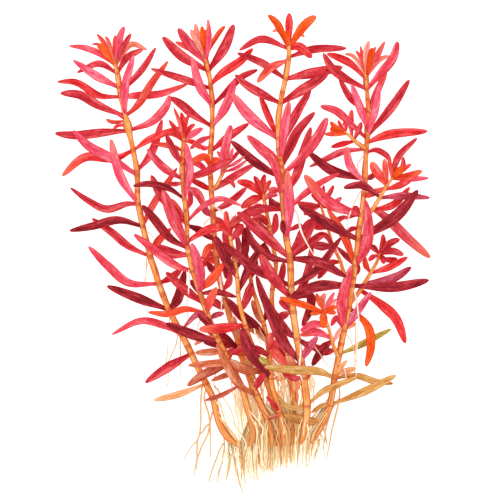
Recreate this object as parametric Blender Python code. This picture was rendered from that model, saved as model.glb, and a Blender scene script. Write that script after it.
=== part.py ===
"""A bunch of red rotala, a water plant, lying on a surface with its roots.

Metres, +Z up. The stems run along +Y, the roots point towards -Y and the bunch lies on Z = 0.
"""
import math

import bmesh
import bpy
from mathutils import Vector
from mathutils.bvhtree import BVHTree

# Real sizes of the bunch.
BUNCH_LENGTH = 0.180
LEAF_THICKNESS = 0.0008

# A stem thins by this share from its cut end to its tip.
STEM_TAPER = 0.45

# Shares of a leaf's planned width at its foot and at its widest, how far along that is,
# and how blunt the tip is.
LEAF_FOOT = 0.45
LEAF_FULLNESS = 1.07
LEAF_SWELL = 0.50
TIP_BLUNTNESS = 5

# A leaf starts inside its stem, at these shares of the stem's radius outwards and up or down.
# It leaves fully on the upper side with this lift in millimetres.
LEAF_START = 0.15
LEAF_SIDE = 0.35
FULL_LIFT = 20.0
TIP_ROOM = 4

# Leaves shorter than these have fewer sections.
SMALL_LEAF = 0.010
LONG_LEAF = 0.026

# How much a leaf may rise for its length, and the room that shoots keep to one another.
STEEPEST = 0.9
GAP = 0.0005
CLEAR_OF_OTHERS = 0.0007

# How finely lines are stepped, and how far the finished solids are thinned out.
STEM_POINTS = 120
LEAF_POINTS = 41
STEM_SECTION = 0.015
KEPT_FACES = 0.74
FLAT_WITHIN = 3
SAME_POINT = 0.00001

LEAF_RED = (0.60, 0.05, 0.08)
SHOOT_COLOURS = {
    "inner_left": (0.30, 0.02, 0.04),
    "inner": (0.45, 0.05, 0.06),
    "right_low_fork": (0.80, 0.20, 0.05),
    "right_upper_side": (0.85, 0.18, 0.06),
}
ROOT_TAN = (0.80, 0.60, 0.38)
ROUGHNESS = 0.5

# The growing plan is drawn on squares, counted from its left and top edges.
# Plan places and widths are in squares, and heights above the surface are in millimetres.
PLAN_LENGTH = 481
SQUARE = BUNCH_LENGTH / PLAN_LENGTH
PLAN_MIDDLE = (242.0, 253.56)
MM = 0.001

# Each stem goes from its cut end to its tip as (across, down, height).
# Each leaf is (where it leaves the stem, width, how far its tip stands above the stem,
# the places that its midrib passes, the last one its tip).
SHOOTS = {
    "far_left": dict(
        thick=8.0,
        stem=[(238, 446, 7), (227, 437, 7), (220, 425, 7), (216, 412, 7), (213, 399, 7), (206, 384, 8),
              (196, 364, 9), (184, 339, 9), (169, 310, 9), (155, 273, 9), (145, 236, 9), (138, 204, 9),
              (137, 175, 9), (133, 150, 9), (125, 116, 8), (119, 90, 7), (117, 73, 7), (113, 54, 7)],
        leaves=[
            (384, 7, -5, (178, 395), (153, 401)), (354, 10, 3, (167, 368), (145, 383)),
            (334, 8, 4, (165, 326), (140, 321), (111, 335)), (308, 10, -3, (137, 298), (106, 286)),
            (308, 10, 4, (178, 298), (185, 270)), (286, 8, -5, (172, 277), (182, 268)),
            (284, 9, 3, (129, 283), (108, 266), (88, 246)),
            (257, 8, -3, (128, 246), (111, 232), (91, 218)), (257, 8, -6, (158, 241), (171, 228)),
            (226, 9, 4, (118, 220), (93, 226), (69, 231)), (227, 7, -6, (153, 204), (177, 167)),
            (204, 8, -4, (126, 204), (106, 209), (87, 200), (69, 187)),
            (202, 9, 7, (120, 175), (111, 139)), (176, 10, 4, (112, 159), (89, 146), (73, 130)),
            (173, 8, -3, (152, 151), (162, 119)), (150, 9, -4, (114, 158), (84, 157), (61, 176)),
            (150, 7, 2, (152, 138), (182, 127)), (133, 9, -2, (105, 132), (75, 135), (54, 133)),
            (133, 9, 3, (151, 122), (165, 108), (170, 95)), (121, 4, 3, (113, 122), (106, 119)),
            (127, 4, 3, (119, 125), (113, 129)), (120, 4, 4, (117, 113), (112, 109)),
            (118, 8, -3, (138, 104), (151, 83), (168, 60)), (117, 9, 7, (125, 88), (134, 55)),
            (118, 9, 3, (100, 106), (80, 95), (60, 93)), (97, 8, -5, (135, 95), (160, 93), (188, 83)),
            (98, 8, -4, (98, 95), (76, 82), (56, 81)), (93, 7, 2, (142, 69), (156, 47)),
            (86, 9, 5, (95, 75), (73, 60)), (73, 7, -3, (98, 63), (76, 72)),
            (72, 7, 2, (127, 57), (143, 49)), (61, 7, -3, (99, 53), (84, 47), (68, 45)),
            (58, 6, -3, (130, 44), (147, 49)), (59, 6, 3, (123, 47), (131, 33)),
            (56, 7, 2, (119, 40), (124, 26)), (55, 4, -3, (114, 43), (115, 34)),
            (55, 4, 3, (109, 43), (105, 36)), (57, 10, 1, (106, 51), (97, 44)),
            (55, 5, -1, (104, 43), (96, 33)), (56, 3, -4, (100, 45), (91, 43)),
        ]),
    "left": dict(
        thick=7.5,
        stem=[(250, 447, 10), (253, 437, 10), (252, 425, 10), (248, 411, 10), (244, 395, 11),
              (240, 383, 12), (233, 369, 14), (224, 351, 15), (214, 331, 16), (206, 310, 16),
              (198, 287, 15), (191, 265, 15), (187, 242, 14), (187, 222, 14), (184, 195, 13),
              (182, 168, 12), (183, 148, 11), (184, 133, 11)],
        leaves=[
            (384, 5, -3, (222, 395), (204, 401)), (373, 6, -3, (224, 376), (211, 381)),
            (365, 9, -4, (218, 368), (203, 375), (187, 386)), (364, 8, 3, (218, 363), (188, 365)),
            (350, 7, -5, (212, 352), (195, 353)), (343, 10, 4, (192, 334), (166, 323)),
            (338, 5, -2, (205, 338), (194, 345)), (324, 6, 1, (199, 314), (184, 327)),
            (318, 6, -4, (216, 315), (224, 313)), (312, 7, 2, (186, 309), (168, 314), (148, 312)),
            (314, 9, 5, (210, 301), (217, 287)), (303, 9, 1, (186, 290), (166, 272)),
            (300, 8, -3, (214, 302), (224, 309)), (296, 6, -5, (195, 286), (190, 280)),
            (328, 8, 5, (207, 321), (198, 314)), (295, 7, 3, (218, 292), (237, 297)),
            (292, 10, 7, (200, 270), (192, 243)), (290, 9, 4, (212, 279), (224, 263)),
            (271, 9, 4, (175, 265), (156, 251), (134, 234)), (254, 10, -5, (172, 253), (157, 246)),
            (250, 9, 1, (170, 238), (155, 220), (142, 205)), (249, 12, 7, (174, 219), (163, 190)),
            (243, 9, 5, (205, 231), (222, 227), (243, 225)), (224, 8, -3, (201, 231), (214, 240)),
            (221, 6, 6, (201, 208), (220, 199), (242, 206)), (222, 9, -2, (163, 198), (151, 175)),
            (226, 9, -5, (178, 212), (170, 199)), (200, 7, 3, (168, 188), (150, 184), (133, 186)),
            (199, 8, 6, (190, 172), (186, 143)), (186, 8, -1, (197, 193), (204, 206)),
            (212, 6, -5, (190, 202), (190, 190)), (184, 5, -5, (175, 184), (167, 183)),
            (181, 8, 2, (164, 168), (147, 149)), (179, 8, 4, (206, 172), (231, 159)),
            (177, 6, -5, (200, 184), (211, 190)), (165, 8, 3, (174, 151), (166, 134)),
            (158, 7, -3, (197, 163), (208, 172)), (151, 6, -4, (170, 146), (152, 143)),
            (141, 5, -3, (193, 142), (201, 149)), (137, 5, 2, (176, 130), (169, 120)),
            (136, 6, -1, (172, 133), (160, 135)), (135, 4, 4, (179, 121), (174, 108)),
            (135, 6, 1, (184, 124), (181, 112)), (135, 4, -4, (186, 122), (189, 114)),
            (136, 5, 2, (189, 129), (195, 124)), (138, 7, 0, (194, 133), (203, 128)),
        ]),
    "back_left": dict(
        thick=7.5,
        stem=[(272, 447, 10), (271, 434, 10), (268, 421, 10), (263, 409, 10), (257, 396, 10),
              (251, 382, 9), (246, 368, 8), (241, 354, 7), (237, 338, 7), (231, 322, 8), (225, 300, 9),
              (219, 277, 10), (215, 245, 10), (213, 215, 10), (211, 185, 10), (210, 160, 10),
              (212, 130, 9), (212, 105, 9), (210, 80, 8), (206, 62, 8), (203, 48, 8)],
        leaves=[
            (395, 9, 11, (240, 385), (227, 365), (217, 343)), (390, 8, 4, (259, 381), (265, 373)),
            (350, 10, 4, (222, 337), (206, 330)), (345, 7, -3, (222, 346), (203, 343)),
            (300, 6, -4, (232, 306), (238, 314)), (292, 7, 3, (229, 282), (230, 270)),
            (266, 7, -4, (213, 270), (207, 262)), (257, 8, -5, (210, 255), (201, 258)),
            (262, 8, -6, (209, 260), (202, 266)), (246, 8, 3, (209, 248), (203, 258)),
            (218, 7, -3, (206, 211), (201, 201)), (217, 7, -3, (220, 222), (225, 231)),
            (214, 7, 3, (230, 202), (247, 187)), (356, 7, 3, (231, 352), (227, 362)),
            (191, 8, 1, (233, 177), (256, 163)), (164, 8, 6, (204, 157), (190, 162)),
            (164, 6, 4, (216, 160), (222, 166)), (150, 8, -2, (228, 137), (249, 123)),
            (147, 5, -4, (204, 148), (198, 144)), (136, 6, 3, (200, 141), (190, 149)),
            (126, 9, 2, (194, 115), (182, 105), (170, 97)), (127, 9, 5, (226, 106), (235, 80)),
            (105, 7, -2, (226, 92), (241, 77), (258, 69)), (105, 10, 5, (200, 86), (192, 57)),
            (89, 8, -3, (184, 79), (150, 68)), (86, 9, 2, (222, 73), (240, 61), (253, 48)),
            (71, 10, 3, (224, 48), (234, 24)), (71, 10, -2, (182, 56), (162, 36)),
            (62, 10, 3, (190, 45), (178, 28)), (56, 6, 4, (197, 42), (190, 32)),
            (61, 6, 5, (209, 40), (208, 19)), (46, 5, -2, (217, 35), (225, 25)),
            (54, 5, -3, (185, 46), (175, 41)), (50, 6, 1, (198, 36), (195, 23)),
            (49, 3, -3, (196, 34), (189, 29)), (49, 6, 4, (203, 37), (202, 26)),
            (49, 5, 0, (205, 36), (206, 29)),
        ]),
    "centre": dict(
        thick=8.5,
        stem=[(301, 444, 12), (305, 426, 13), (307, 408, 15), (305, 388, 17), (302, 368, 20),
              (298, 345, 22), (294, 320, 23), (291, 290, 23), (290, 262, 22), (286, 236, 21),
              (283, 205, 20), (282, 175, 18), (279, 150, 17), (278, 125, 15), (281, 100, 14),
              (286, 76, 13), (289, 57, 12), (288, 38, 12)],
        leaves=[
            (405, 7, -4, (322, 392), (340, 384), (358, 377)), (406, 5, -5, (294, 408), (281, 405)),
            (378, 6, -5, (294, 378), (282, 373)), (378, 5, -4, (307, 377), (310, 373)),
            (361, 12, 6, (284, 343), (273, 318), (264, 296)), (362, 8, 4, (308, 348), (317, 336)),
            (338, 5, 2, (303, 342), (307, 347)), (338, 9, 2, (286, 330), (267, 304), (256, 275)),
            (372, 8, 3, (291, 362), (287, 353)), (313, 7, -3, (286, 306), (279, 300)),
            (313, 6, -4, (283, 314), (275, 318)), (297, 9, -5, (309, 295), (310, 308), (302, 326)),
            (297, 11, 6, (272, 276), (260, 254)), (284, 10, 2, (254, 268), (223, 243)),
            (284, 8, -3, (315, 271), (341, 237)), (261, 9, -3, (268, 256), (253, 243), (246, 226)),
            (258, 11, 4, (264, 235), (237, 212)), (258, 10, 1, (318, 262), (346, 277)),
            (256, 13, -5, (300, 242), (308, 228), (315, 219)),
            (300, 8, -7, (303, 284), (309, 266), (312, 243)), (230, 5, -6, (296, 227), (302, 224)),
            (238, 10, 8, (289, 205), (287, 171)), (236, 6, 4, (283, 229), (282, 220)),
            (211, 10, 1, (262, 209), (246, 214), (229, 227)),
            (212, 7, -5, (302, 196), (320, 183), (340, 173)), (205, 6, -6, (275, 204), (269, 198)),
            (200, 11, 3, (274, 163), (261, 149), (247, 136)), (190, 6, -6, (274, 190), (268, 190)),
            (198, 9, -3, (295, 178), (303, 153), (311, 127)),
            (176, 10, 2, (305, 154), (318, 136), (327, 118)), (178, 9, -3, (256, 163), (231, 141)),
            (166, 10, -2, (289, 150), (298, 131), (315, 112)), (160, 9, 6, (284, 131), (289, 102)),
            (150, 9, -4, (296, 114), (311, 89)), (140, 11, 3, (251, 118), (231, 93)),
            (139, 7, -2, (268, 116), (260, 96)), (102, 10, 2, (304, 89), (328, 74)),
            (102, 9, 1, (265, 96), (247, 86), (235, 75)), (79, 10, -3, (312, 73), (343, 67)),
            (80, 8, -3, (262, 63), (237, 53)), (60, 8, 4, (271, 68), (257, 83)),
            (57, 8, -2, (315, 49), (347, 48)), (48, 8, -1, (262, 39), (239, 50)),
            (36, 9, 2, (300, 47), (312, 58)), (34, 4, -3, (280, 31), (272, 31)),
            (34, 4, -3, (297, 32), (305, 37)), (34, 8, 3, (278, 25), (268, 15)),
            (34, 8, 1, (289, 24), (289, 13)), (34, 9, 2, (303, 27), (316, 16)),
            (40, 6, 5, (287, 36), (286, 31)),
        ]),
    "right": dict(
        thick=7.5,
        stem=[(311, 444, 6), (320, 429, 6), (328, 412, 7), (332, 396, 8), (335, 376, 10),
              (340, 350, 12), (345, 325, 13), (350, 300, 14), (354, 272, 14), (358, 240, 14),
              (362, 210, 13), (365, 180, 12), (366, 155, 11), (368, 130, 10), (368, 105, 9),
              (367, 85, 8), (366, 68, 8)],
        leaves=[
            (405, 5, 3, (322, 406), (311, 413)), (405, 8, 2, (366, 391), (397, 375)),
            (377, 9, 15, (318, 371), (290, 369), (264, 366)),
            (379, 7, -3, (356, 376), (376, 382), (394, 384)), (375, 5, 3, (341, 367), (347, 360)),
            (376, 6, 1, (346, 371), (356, 368)), (355, 7, -4, (365, 343), (392, 329)),
            (330, 5, -3, (350, 326), (357, 324)), (329, 6, -2, (337, 318), (331, 326)),
            (330, 8, 2, (356, 313), (371, 292)), (331, 12, 6, (342, 300), (351, 265)),
            (306, 9, -2, (367, 325), (371, 346), (366, 367)), (284, 11, 13, (318, 286), (289, 297)),
            (284, 10, 2, (394, 287), (429, 280)), (277, 5, -4, (358, 270), (357, 262)),
            (267, 6, -3, (346, 256), (337, 247)), (266, 9, 1, (344, 236), (327, 208)),
            (264, 12, 7, (364, 250), (368, 228), (365, 200)), (238, 11, 4, (328, 224), (298, 205)),
            (238, 12, 3, (395, 217), (418, 190)), (228, 5, -4, (352, 229), (348, 232)),
            (217, 6, -4, (355, 214), (345, 219)), (215, 5, -6, (356, 208), (350, 211)),
            (216, 12, 4, (328, 202), (304, 175)), (183, 8, 6, (350, 166), (346, 147)),
            (178, 10, 2, (331, 170), (307, 151)), (178, 6, -3, (371, 177), (377, 172)),
            (154, 6, 2, (376, 150), (386, 155), (391, 163)),
            (149, 7, 2, (345, 151), (328, 158), (309, 167)), (141, 9, 1, (391, 134), (428, 131)),
            (140, 8, 3, (348, 121), (336, 111), (320, 106)), (134, 9, -3, (392, 107), (410, 79)),
            (136, 8, 5, (375, 110), (379, 86)), (129, 9, 5, (360, 108), (351, 84)),
            (112, 7, -2, (351, 98), (339, 77)), (112, 7, -2, (377, 92), (387, 71)),
            (90, 9, 2, (345, 78), (332, 68), (323, 53)), (88, 9, 3, (381, 73), (393, 58), (398, 41)),
            (79, 8, -3, (352, 64), (339, 57), (327, 53)), (76, 7, 3, (376, 58), (385, 41)),
            (70, 4, -3, (355, 57), (345, 53)), (68, 5, -3, (379, 60), (390, 55)),
            (67, 4, -1, (361, 58), (356, 50)), (67, 4, -3, (363, 57), (361, 45)),
            (67, 6, 2, (366, 54), (369, 40)), (67, 7, 4, (371, 57), (372, 48)),
            (67, 5, -1, (372, 55), (376, 46)),
        ]),
    "inner_left": dict(
        thick=7.0,
        stem=[(278, 447, 6), (277, 425, 6), (273, 403, 6), (267, 383, 8), (260, 365, 11),
              (252, 345, 15), (245, 324, 18), (239, 300, 19), (237, 275, 19), (233, 252, 19),
              (229, 232, 19)],
        leaves=[
            (372, 10, 3, (244, 369), (229, 360)), (352, 9, -8, (248, 364), (255, 380)),
            (350, 6, -3, (240, 350), (231, 354)), (324, 10, 4, (222, 328), (199, 329)),
            (345, 8, 3, (236, 330), (233, 316)), (328, 6, -5, (258, 333), (268, 343)),
            (292, 8, -4, (244, 279), (253, 260), (266, 242)), (270, 8, -8, (245, 250), (244, 227)),
            (277, 10, 3, (225, 257), (215, 236)), (262, 6, -5, (239, 249), (236, 232)),
            (258, 7, -6, (228, 247), (223, 232)), (250, 7, -3, (226, 262), (226, 279)),
            (240, 8, 1, (238, 232), (243, 224)), (234, 6, 2, (227, 222), (226, 211)),
            (234, 5, -1, (232, 224), (236, 215)), (235, 5, 3, (222, 228), (216, 225)),
        ]),
    "inner": dict(
        thick=7.0,
        stem=[(284, 446, 8), (282, 425, 9), (277, 404, 10), (272, 385, 11), (270, 365, 12),
              (268, 345, 12), (264, 325, 12), (259, 308, 12), (253, 290, 12), (250, 275, 12)],
        leaves=[
            (412, 5, 4, (275, 406), (266, 396)), (414, 9, 3, (302, 420), (320, 422)),
            (416, 5, -3, (275, 416), (267, 419)), (379, 12, 11, (258, 362), (248, 347), (242, 327)),
            (358, 7, 4, (260, 350), (250, 346)), (366, 7, 5, (264, 361), (259, 357)),
            (344, 10, 3, (277, 355), (289, 367)), (351, 7, 5, (270, 341), (271, 332)),
            (340, 10, 13, (256, 327), (240, 314), (226, 298)), (352, 7, -3, (278, 352), (285, 357)),
            (325, 7, -3, (258, 315), (252, 300)), (322, 8, 2, (268, 312), (263, 301)),
            (282, 9, 5, (249, 292), (242, 310)), (281, 7, 2, (247, 266), (246, 252)),
            (279, 6, -2, (255, 268), (256, 256)), (279, 5, 4, (250, 266), (251, 256)),
        ]),
    "back_centre": dict(
        thick=6.5,
        stem=[(292, 446, 5), (293, 420, 5), (293, 395, 5), (288, 370, 5), (282, 348, 5), (276, 326, 5),
              (272, 303, 5), (273, 285, 5), (276, 266, 6), (273, 246, 7), (269, 224, 8), (265, 204, 9),
              (263, 192, 9)],
        leaves=[
            (375, 6, 3, (281, 378), (274, 379)), (372, 6, 2, (294, 372), (299, 368)),
            (350, 7, 3, (276, 345), (268, 338)), (320, 7, 3, (282, 317), (289, 313)),
            (290, 7, 3, (281, 278), (284, 262)), (262, 7, -3, (268, 254), (264, 244)),
            (236, 7, -4, (275, 227), (276, 213)), (232, 7, -3, (258, 225), (248, 219)),
            (212, 7, -3, (272, 205), (270, 199)), (205, 5, 3, (257, 206), (252, 211)),
            (194, 9, 2, (253, 200), (241, 208)), (193, 8, 1, (250, 185), (237, 181)),
            (193, 6, 3, (258, 183), (254, 176)), (192, 6, -1, (263, 183), (265, 174)),
            (193, 5, 0, (267, 186), (271, 180)), (200, 6, 3, (270, 195), (278, 195)),
            (226, 8, 3, (261, 218), (252, 218)),
        ]),
    "right_upper_side": dict(
        thick=5.0,
        stem=[(356, 142, 12), (350, 136, 12), (344, 132, 12)],
        leaves=[
            (141, 6, -3, (342, 144), (331, 147)), (138, 6, -4, (351, 122), (352, 109)),
            (140, 6, -3, (359, 129), (361, 122)), (133, 7, 2, (336, 131), (330, 128)),
            (133, 5, 0, (333, 134), (324, 134)), (133, 5, 3, (335, 127), (330, 122)),
            (133, 4, -1, (341, 126), (338, 120)), (134, 5, 4, (338, 134), (334, 136)),
            (133, 4, -3, (346, 126), (343, 122)),
        ]),
    "right_front_side": dict(
        thick=5.5,
        stem=[(371, 211, 16), (377, 202, 16), (383, 192, 16), (388, 184, 16), (393, 177, 15)],
        leaves=[
            (209, 10, -8, (386, 217), (409, 239), (431, 258)), (210, 8, -3, (393, 205), (410, 187)),
            (198, 8, -2, (404, 196), (430, 198)), (197, 8, 4, (362, 186), (343, 188)),
            (190, 7, 1, (400, 185), (413, 178)), (187, 7, -3, (373, 193), (364, 197)),
            (186, 9, 1, (377, 173), (371, 162)), (185, 6, 4, (385, 172), (384, 159)),
            (179, 5, 3, (391, 170), (388, 159)), (178, 7, 2, (398, 157), (417, 138)),
            (179, 7, 2, (408, 176), (422, 171)), (179, 6, -2, (412, 179), (429, 178)),
            (178, 6, 1, (402, 168), (403, 157)), (178, 8, 4, (399, 171), (402, 167)),
            (178, 5, 3, (404, 169), (411, 164)),
        ]),
    "right_lower_side": dict(
        thick=5.5,
        stem=[(360, 291, 9), (366, 281, 9), (372, 271, 9), (377, 262, 9), (380, 253, 9)],
        leaves=[
            (290, 10, -2, (382, 305), (397, 320), (406, 344)), (284, 9, -3, (394, 278), (412, 267)),
            (273, 7, 1, (390, 267), (408, 257)), (273, 6, -1, (366, 265), (365, 256)),
            (258, 6, -3, (391, 260), (398, 259)), (254, 7, 1, (392, 251), (404, 255)),
            (253, 7, 2, (389, 244), (400, 239)), (253, 6, 0, (383, 243), (383, 234)),
            (254, 6, 2, (374, 248), (369, 246)), (255, 5, -2, (373, 257), (369, 261)),
            (255, 6, 3, (383, 259), (384, 264)),
        ]),
    "right_low_fork": dict(
        thick=4.5,
        stem=[(333, 345, 17), (331, 337, 18), (328, 327, 19), (325, 316, 20), (324, 309, 20)],
        leaves=[
            (338, 8, -3, (316, 332), (300, 335)), (343, 5, -3, (337, 335), (341, 327)),
            (326, 8, -1, (313, 324), (300, 331)), (350, 9, -8, (324, 351), (303, 342)),
            (340, 9, -9, (323, 349), (312, 366)), (312, 7, 2, (302, 304), (279, 297)),
            (311, 8, 4, (323, 318), (323, 328)), (311, 6, 2, (316, 312), (310, 314)),
            (310, 6, 2, (322, 300), (325, 293)), (310, 5, 0, (329, 301), (334, 292)),
            (310, 5, -2, (331, 304), (337, 299)), (311, 5, 2, (331, 308), (337, 306)),
            (312, 5, -2, (331, 312), (336, 313)), (311, 6, 3, (319, 301), (316, 293)),
        ]),
    "right_inner_fork": dict(
        thick=4.5,
        stem=[(344, 272, 7), (340, 260, 7), (333, 245, 7), (328, 228, 7), (323, 212, 8), (320, 203, 8)],
        leaves=[
            (262, 7, -3, (330, 264), (318, 279)),
            (250, 8, 3, (325, 235), (314, 240), (303, 248), (292, 257)),
            (246, 9, -3, (322, 246), (312, 245)), (228, 6, -2, (338, 220), (347, 216)),
            (228, 8, -2, (318, 226), (309, 225)), (205, 6, 1, (308, 205), (297, 203)),
            (206, 6, -2, (310, 210), (304, 215)), (206, 5, 0, (323, 194), (324, 185)),
            (206, 5, 2, (328, 196), (334, 185)), (207, 6, 0, (332, 205), (342, 197)),
            (205, 5, 3, (316, 198), (311, 194)),
        ]),
    "back_left_side": dict(
        thick=4.5,
        stem=[(217, 185, 12), (221, 177, 12), (226, 168, 12), (229, 163, 12)],
        leaves=[
            (182, 5, -2, (230, 181), (235, 188)), (175, 9, 5, (225, 150), (231, 125)),
            (172, 4, -1, (236, 168), (247, 160)), (168, 4, 3, (236, 163), (245, 156)),
            (166, 4, 1, (235, 156), (240, 150)), (165, 4, 3, (231, 155), (233, 148)),
            (166, 4, -2, (222, 158), (217, 151)), (165, 4, 4, (226, 155), (226, 149)),
        ]),
}

# A side shoot leaves its parent stem at this place down the plan.
FORKS = {
    "right_upper_side": ("right", 148),
    "right_front_side": ("right", 217),
    "right_lower_side": ("right", 303),
    "right_low_fork": ("right", 356),
    "right_inner_fork": ("right", 284),
    "back_left_side": ("back_left", 191),
}

# Narrow leaves that grow towards the surface and hold the stems off it:
# (where they leave the stem, how far their tip is from there up the plan).
UNDER_LEAVES = {
    "far_left": [(345, -34), (292, -40), (240, -40), (190, -38), (140, -36), (95, -34)],
    "left": [(360, -34), (300, -40), (236, -40), (190, -36)],
    "back_left": [(330, -34), (240, -36), (176, -36), (120, -36), (84, -34)],
    "centre": [(355, -44), (270, -46), (184, -46), (140, -44), (92, -40)],
    "right": [(345, -40), (256, -44), (196, -42), (152, -40), (100, -38)],
}
UNDER_LEAF_WIDTH = 6

# Roots of each stem's cut end: the first lock goes on from the stem, the others branch from it.
# Each lock is its places as (across, down, height), and it thins to its tip.
STEM_ROOTS = {
    "far_left": [
        [(242, 452, 5), (240, 464, 3), (226, 481, 1)],
        [(242, 452, 5), (228, 462, 3), (213, 474, 1.5), (208, 484, 0.8)],
        [(242, 455, 4.5), (245, 475, 2), (243, 494, 0.8)],
    ],
    "left": [
        [(249, 455, 9.8), (252, 466, 7), (253, 477, 3)],
        [(249, 457, 9.5), (247, 470, 6), (248, 483, 3)],
    ],
    "back_left": [
        [(272, 456, 9), (267, 468, 6), (261, 482, 3)],
        [(272, 458, 9), (273, 470, 6), (274, 480, 3)],
    ],
    "inner_left": [
        [(278, 456, 5), (279, 466, 3), (280, 474, 1)],
        [(278, 458, 5), (272, 468, 3), (270, 479, 0.8)],
    ],
    "inner": [
        [(285, 455, 7), (287, 465, 5), (288, 472, 3)],
    ],
    "back_centre": [
        [(292, 455, 4), (295, 463, 2), (297, 470, 0.8)],
    ],
    "centre": [
        [(300, 453, 11), (303, 461, 9), (304, 469, 7)],
        [(300, 455, 11), (295, 461, 9), (291, 465, 8)],
    ],
    "right": [
        [(308, 452, 5), (309, 461, 3.5), (311, 468, 1.5)],
        [(309, 451, 5), (316, 457, 3), (324, 462, 1)],
    ],
}
ROOT_TIP = 0.0003
BRANCH_RADIUS = 0.7

# Loose roots from the sides of the lower stems, the first one the longest.
LOOSE_ROOTS = {
    "left_loose_roots": [
        [(202, 389, 6), (200, 405, 4), (200, 424, 2), (196, 440, 1), (188, 451, 0.8), (183, 461, 0.8)],
        [(197, 440, 1), (197, 455, 0.8), (197, 470, 0.8)],
        [(199, 408, 4), (207, 416, 3), (209, 432, 1.5), (203, 446, 1), (197, 460, 0.8), (194, 476, 0.8)],
    ],
    "right_loose_root": [
        [(339, 392, 7), (338, 406, 5), (335, 420, 3), (330, 440, 1.2), (327, 460, 0.8)],
    ],
}
LOOSE_ROOT_RADIUS = 0.0004

# A few lifts are tried for each leaf, nearest to its own first, until it touches nothing.
LIFT_STEP = 1.2
LIFT_TRIES = 14


def place(across, down, height):
    """A point of the plan, in metres."""
    return Vector((
        (across - PLAN_MIDDLE[0]) * SQUARE,
        (PLAN_MIDDLE[1] - down) * SQUARE,
        height * MM,
    ))


def curve_through(points, count):
    """Evenly stepped points on a smooth curve through the given ones."""
    first = 2 * points[0] - points[1]
    last = 2 * points[-1] - points[-2]
    ends = [first] + list(points) + [last]
    result = []
    for i in range(count):
        along = (len(points) - 1) * i / (count - 1)
        k = min(int(along), len(points) - 2)
        t = along - k
        a, b, c, d = ends[k:k + 4]
        result.append(0.5 * (
            2 * b + (c - a) * t + (2 * a - 5 * b + 4 * c - d) * t * t
            + (3 * b - a - 3 * c + d) * t * t * t))
    return result


class Stem:
    """The middle line of one stem and its radius along it."""

    def __init__(self, points, thick):
        self.line = curve_through(points, STEM_POINTS)
        self.thick = thick * SQUARE

    def radius(self, index):
        return self.thick / 2 * (1 - STEM_TAPER * index / (len(self.line) - 1))

    def index_at(self, down):
        y = (PLAN_MIDDLE[1] - down) * SQUARE
        return min(range(len(self.line)), key=lambda i: abs(self.line[i].y - y))

    def direction(self, index):
        low = max(index - 2, 0)
        high = min(index + 2, len(self.line) - 1)
        return (self.line[high] - self.line[low]).normalized()


def grow_stems():
    """All stems. A side shoot starts just outside the skin of its parent."""
    stems = {}
    for name, shoot in SHOOTS.items():
        points = [place(*p) for p in shoot["stem"]]
        if name in FORKS:
            parent_name, down = FORKS[name]
            parent = stems[parent_name]
            at = parent.index_at(down)
            towards = (points[0] - parent.line[at]).normalized()
            cosine = abs(towards.dot(parent.direction(at)))
            sine = math.sqrt(1 - cosine * cosine)
            own_radius = shoot["thick"] * SQUARE / 2
            reach = (parent.radius(at) + GAP + own_radius * cosine) / sine
            points[0:0] = [parent.line[at] + towards * reach]
        stems[name] = Stem(points, shoot["thick"])
    return stems


def leaf_line(stem, leaf, lift, count):
    """The midrib of a leaf, from the middle of its stem to its tip."""
    down, _, _, *passes = leaf
    at = min(stem.index_at(down), len(stem.line) - 1 - TIP_ROOM)
    outwards = (place(*passes[0], 0) - stem.line[at]).xy.normalized()
    start = stem.line[at] + outwards.to_3d() * stem.radius(at) * LEAF_START
    flat = [Vector((start.x, start.y, 0.0))] + [place(a, d, 0) for a, d in passes]
    line = curve_through(flat, count)
    side_of_stem = max(-LEAF_SIDE, min(LEAF_SIDE, lift / FULL_LIFT)) * stem.radius(at)
    for i, point in enumerate(line):
        point.z = start.z + side_of_stem + lift * MM * math.sin(math.pi / 2 * i / (count - 1))
    return line


def leaf_width(s):
    """The share of its planned width at s, from 0 at the stem to 1 at the tip."""
    rise = min(s / LEAF_SWELL, 1.0)
    spread = LEAF_FOOT + (LEAF_FULLNESS - LEAF_FOOT) * rise * rise * (3 - 2 * rise)
    return spread * math.sqrt(1 - s ** TIP_BLUNTNESS)


def leaf_stations(length):
    """Where a leaf has a section: more of them on a longer leaf."""
    if length < SMALL_LEAF:
        return (0.0, 0.5)
    if length < LONG_LEAF:
        return (0.0, 0.38, 0.78)
    return (0.0, 0.28, 0.60, 0.87)


def leaf_rings(line, width, swell=0.0):
    """Three-cornered sections of a leaf and its tip, held above the surface."""
    length = sum((b - a).length for a, b in zip(line, line[1:]))
    rings = []
    for s in leaf_stations(length):
        i = round(s * (len(line) - 1))
        along = line[min(i + 1, len(line) - 1)] - line[max(i - 1, 0)]
        side = along.cross(Vector((0, 0, 1))).normalized()
        half = width * SQUARE / 2 * leaf_width(s) + swell
        thick = LEAF_THICKNESS / 2 + swell
        ring = [line[i] - side * half, line[i] + side * half, line[i].copy()]
        for corner, rise in zip(ring, (-thick, -thick, thick)):
            corner.z = max(corner.z + rise, rise + thick)
        rings.append(ring)
    tip = line[-1].copy()
    tip.z = max(tip.z, LEAF_THICKNESS / 2)
    return rings, tip


def leaf_faces(rings):
    """Corner numbers of a leaf's faces: its end at the stem, its sides and its tip."""
    faces = [(0, 1, 2)]
    for k in range(len(rings) - 1):
        for a in range(3):
            b = (a + 1) % 3
            faces.append((3 * k + b, 3 * k + a, 3 * k + 3 + a, 3 * k + 3 + b))
    last = 3 * (len(rings) - 1)
    tip = 3 * len(rings)
    for a in range(3):
        b = (a + 1) % 3
        faces.append((last + b, last + a, tip))
    return faces


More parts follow.
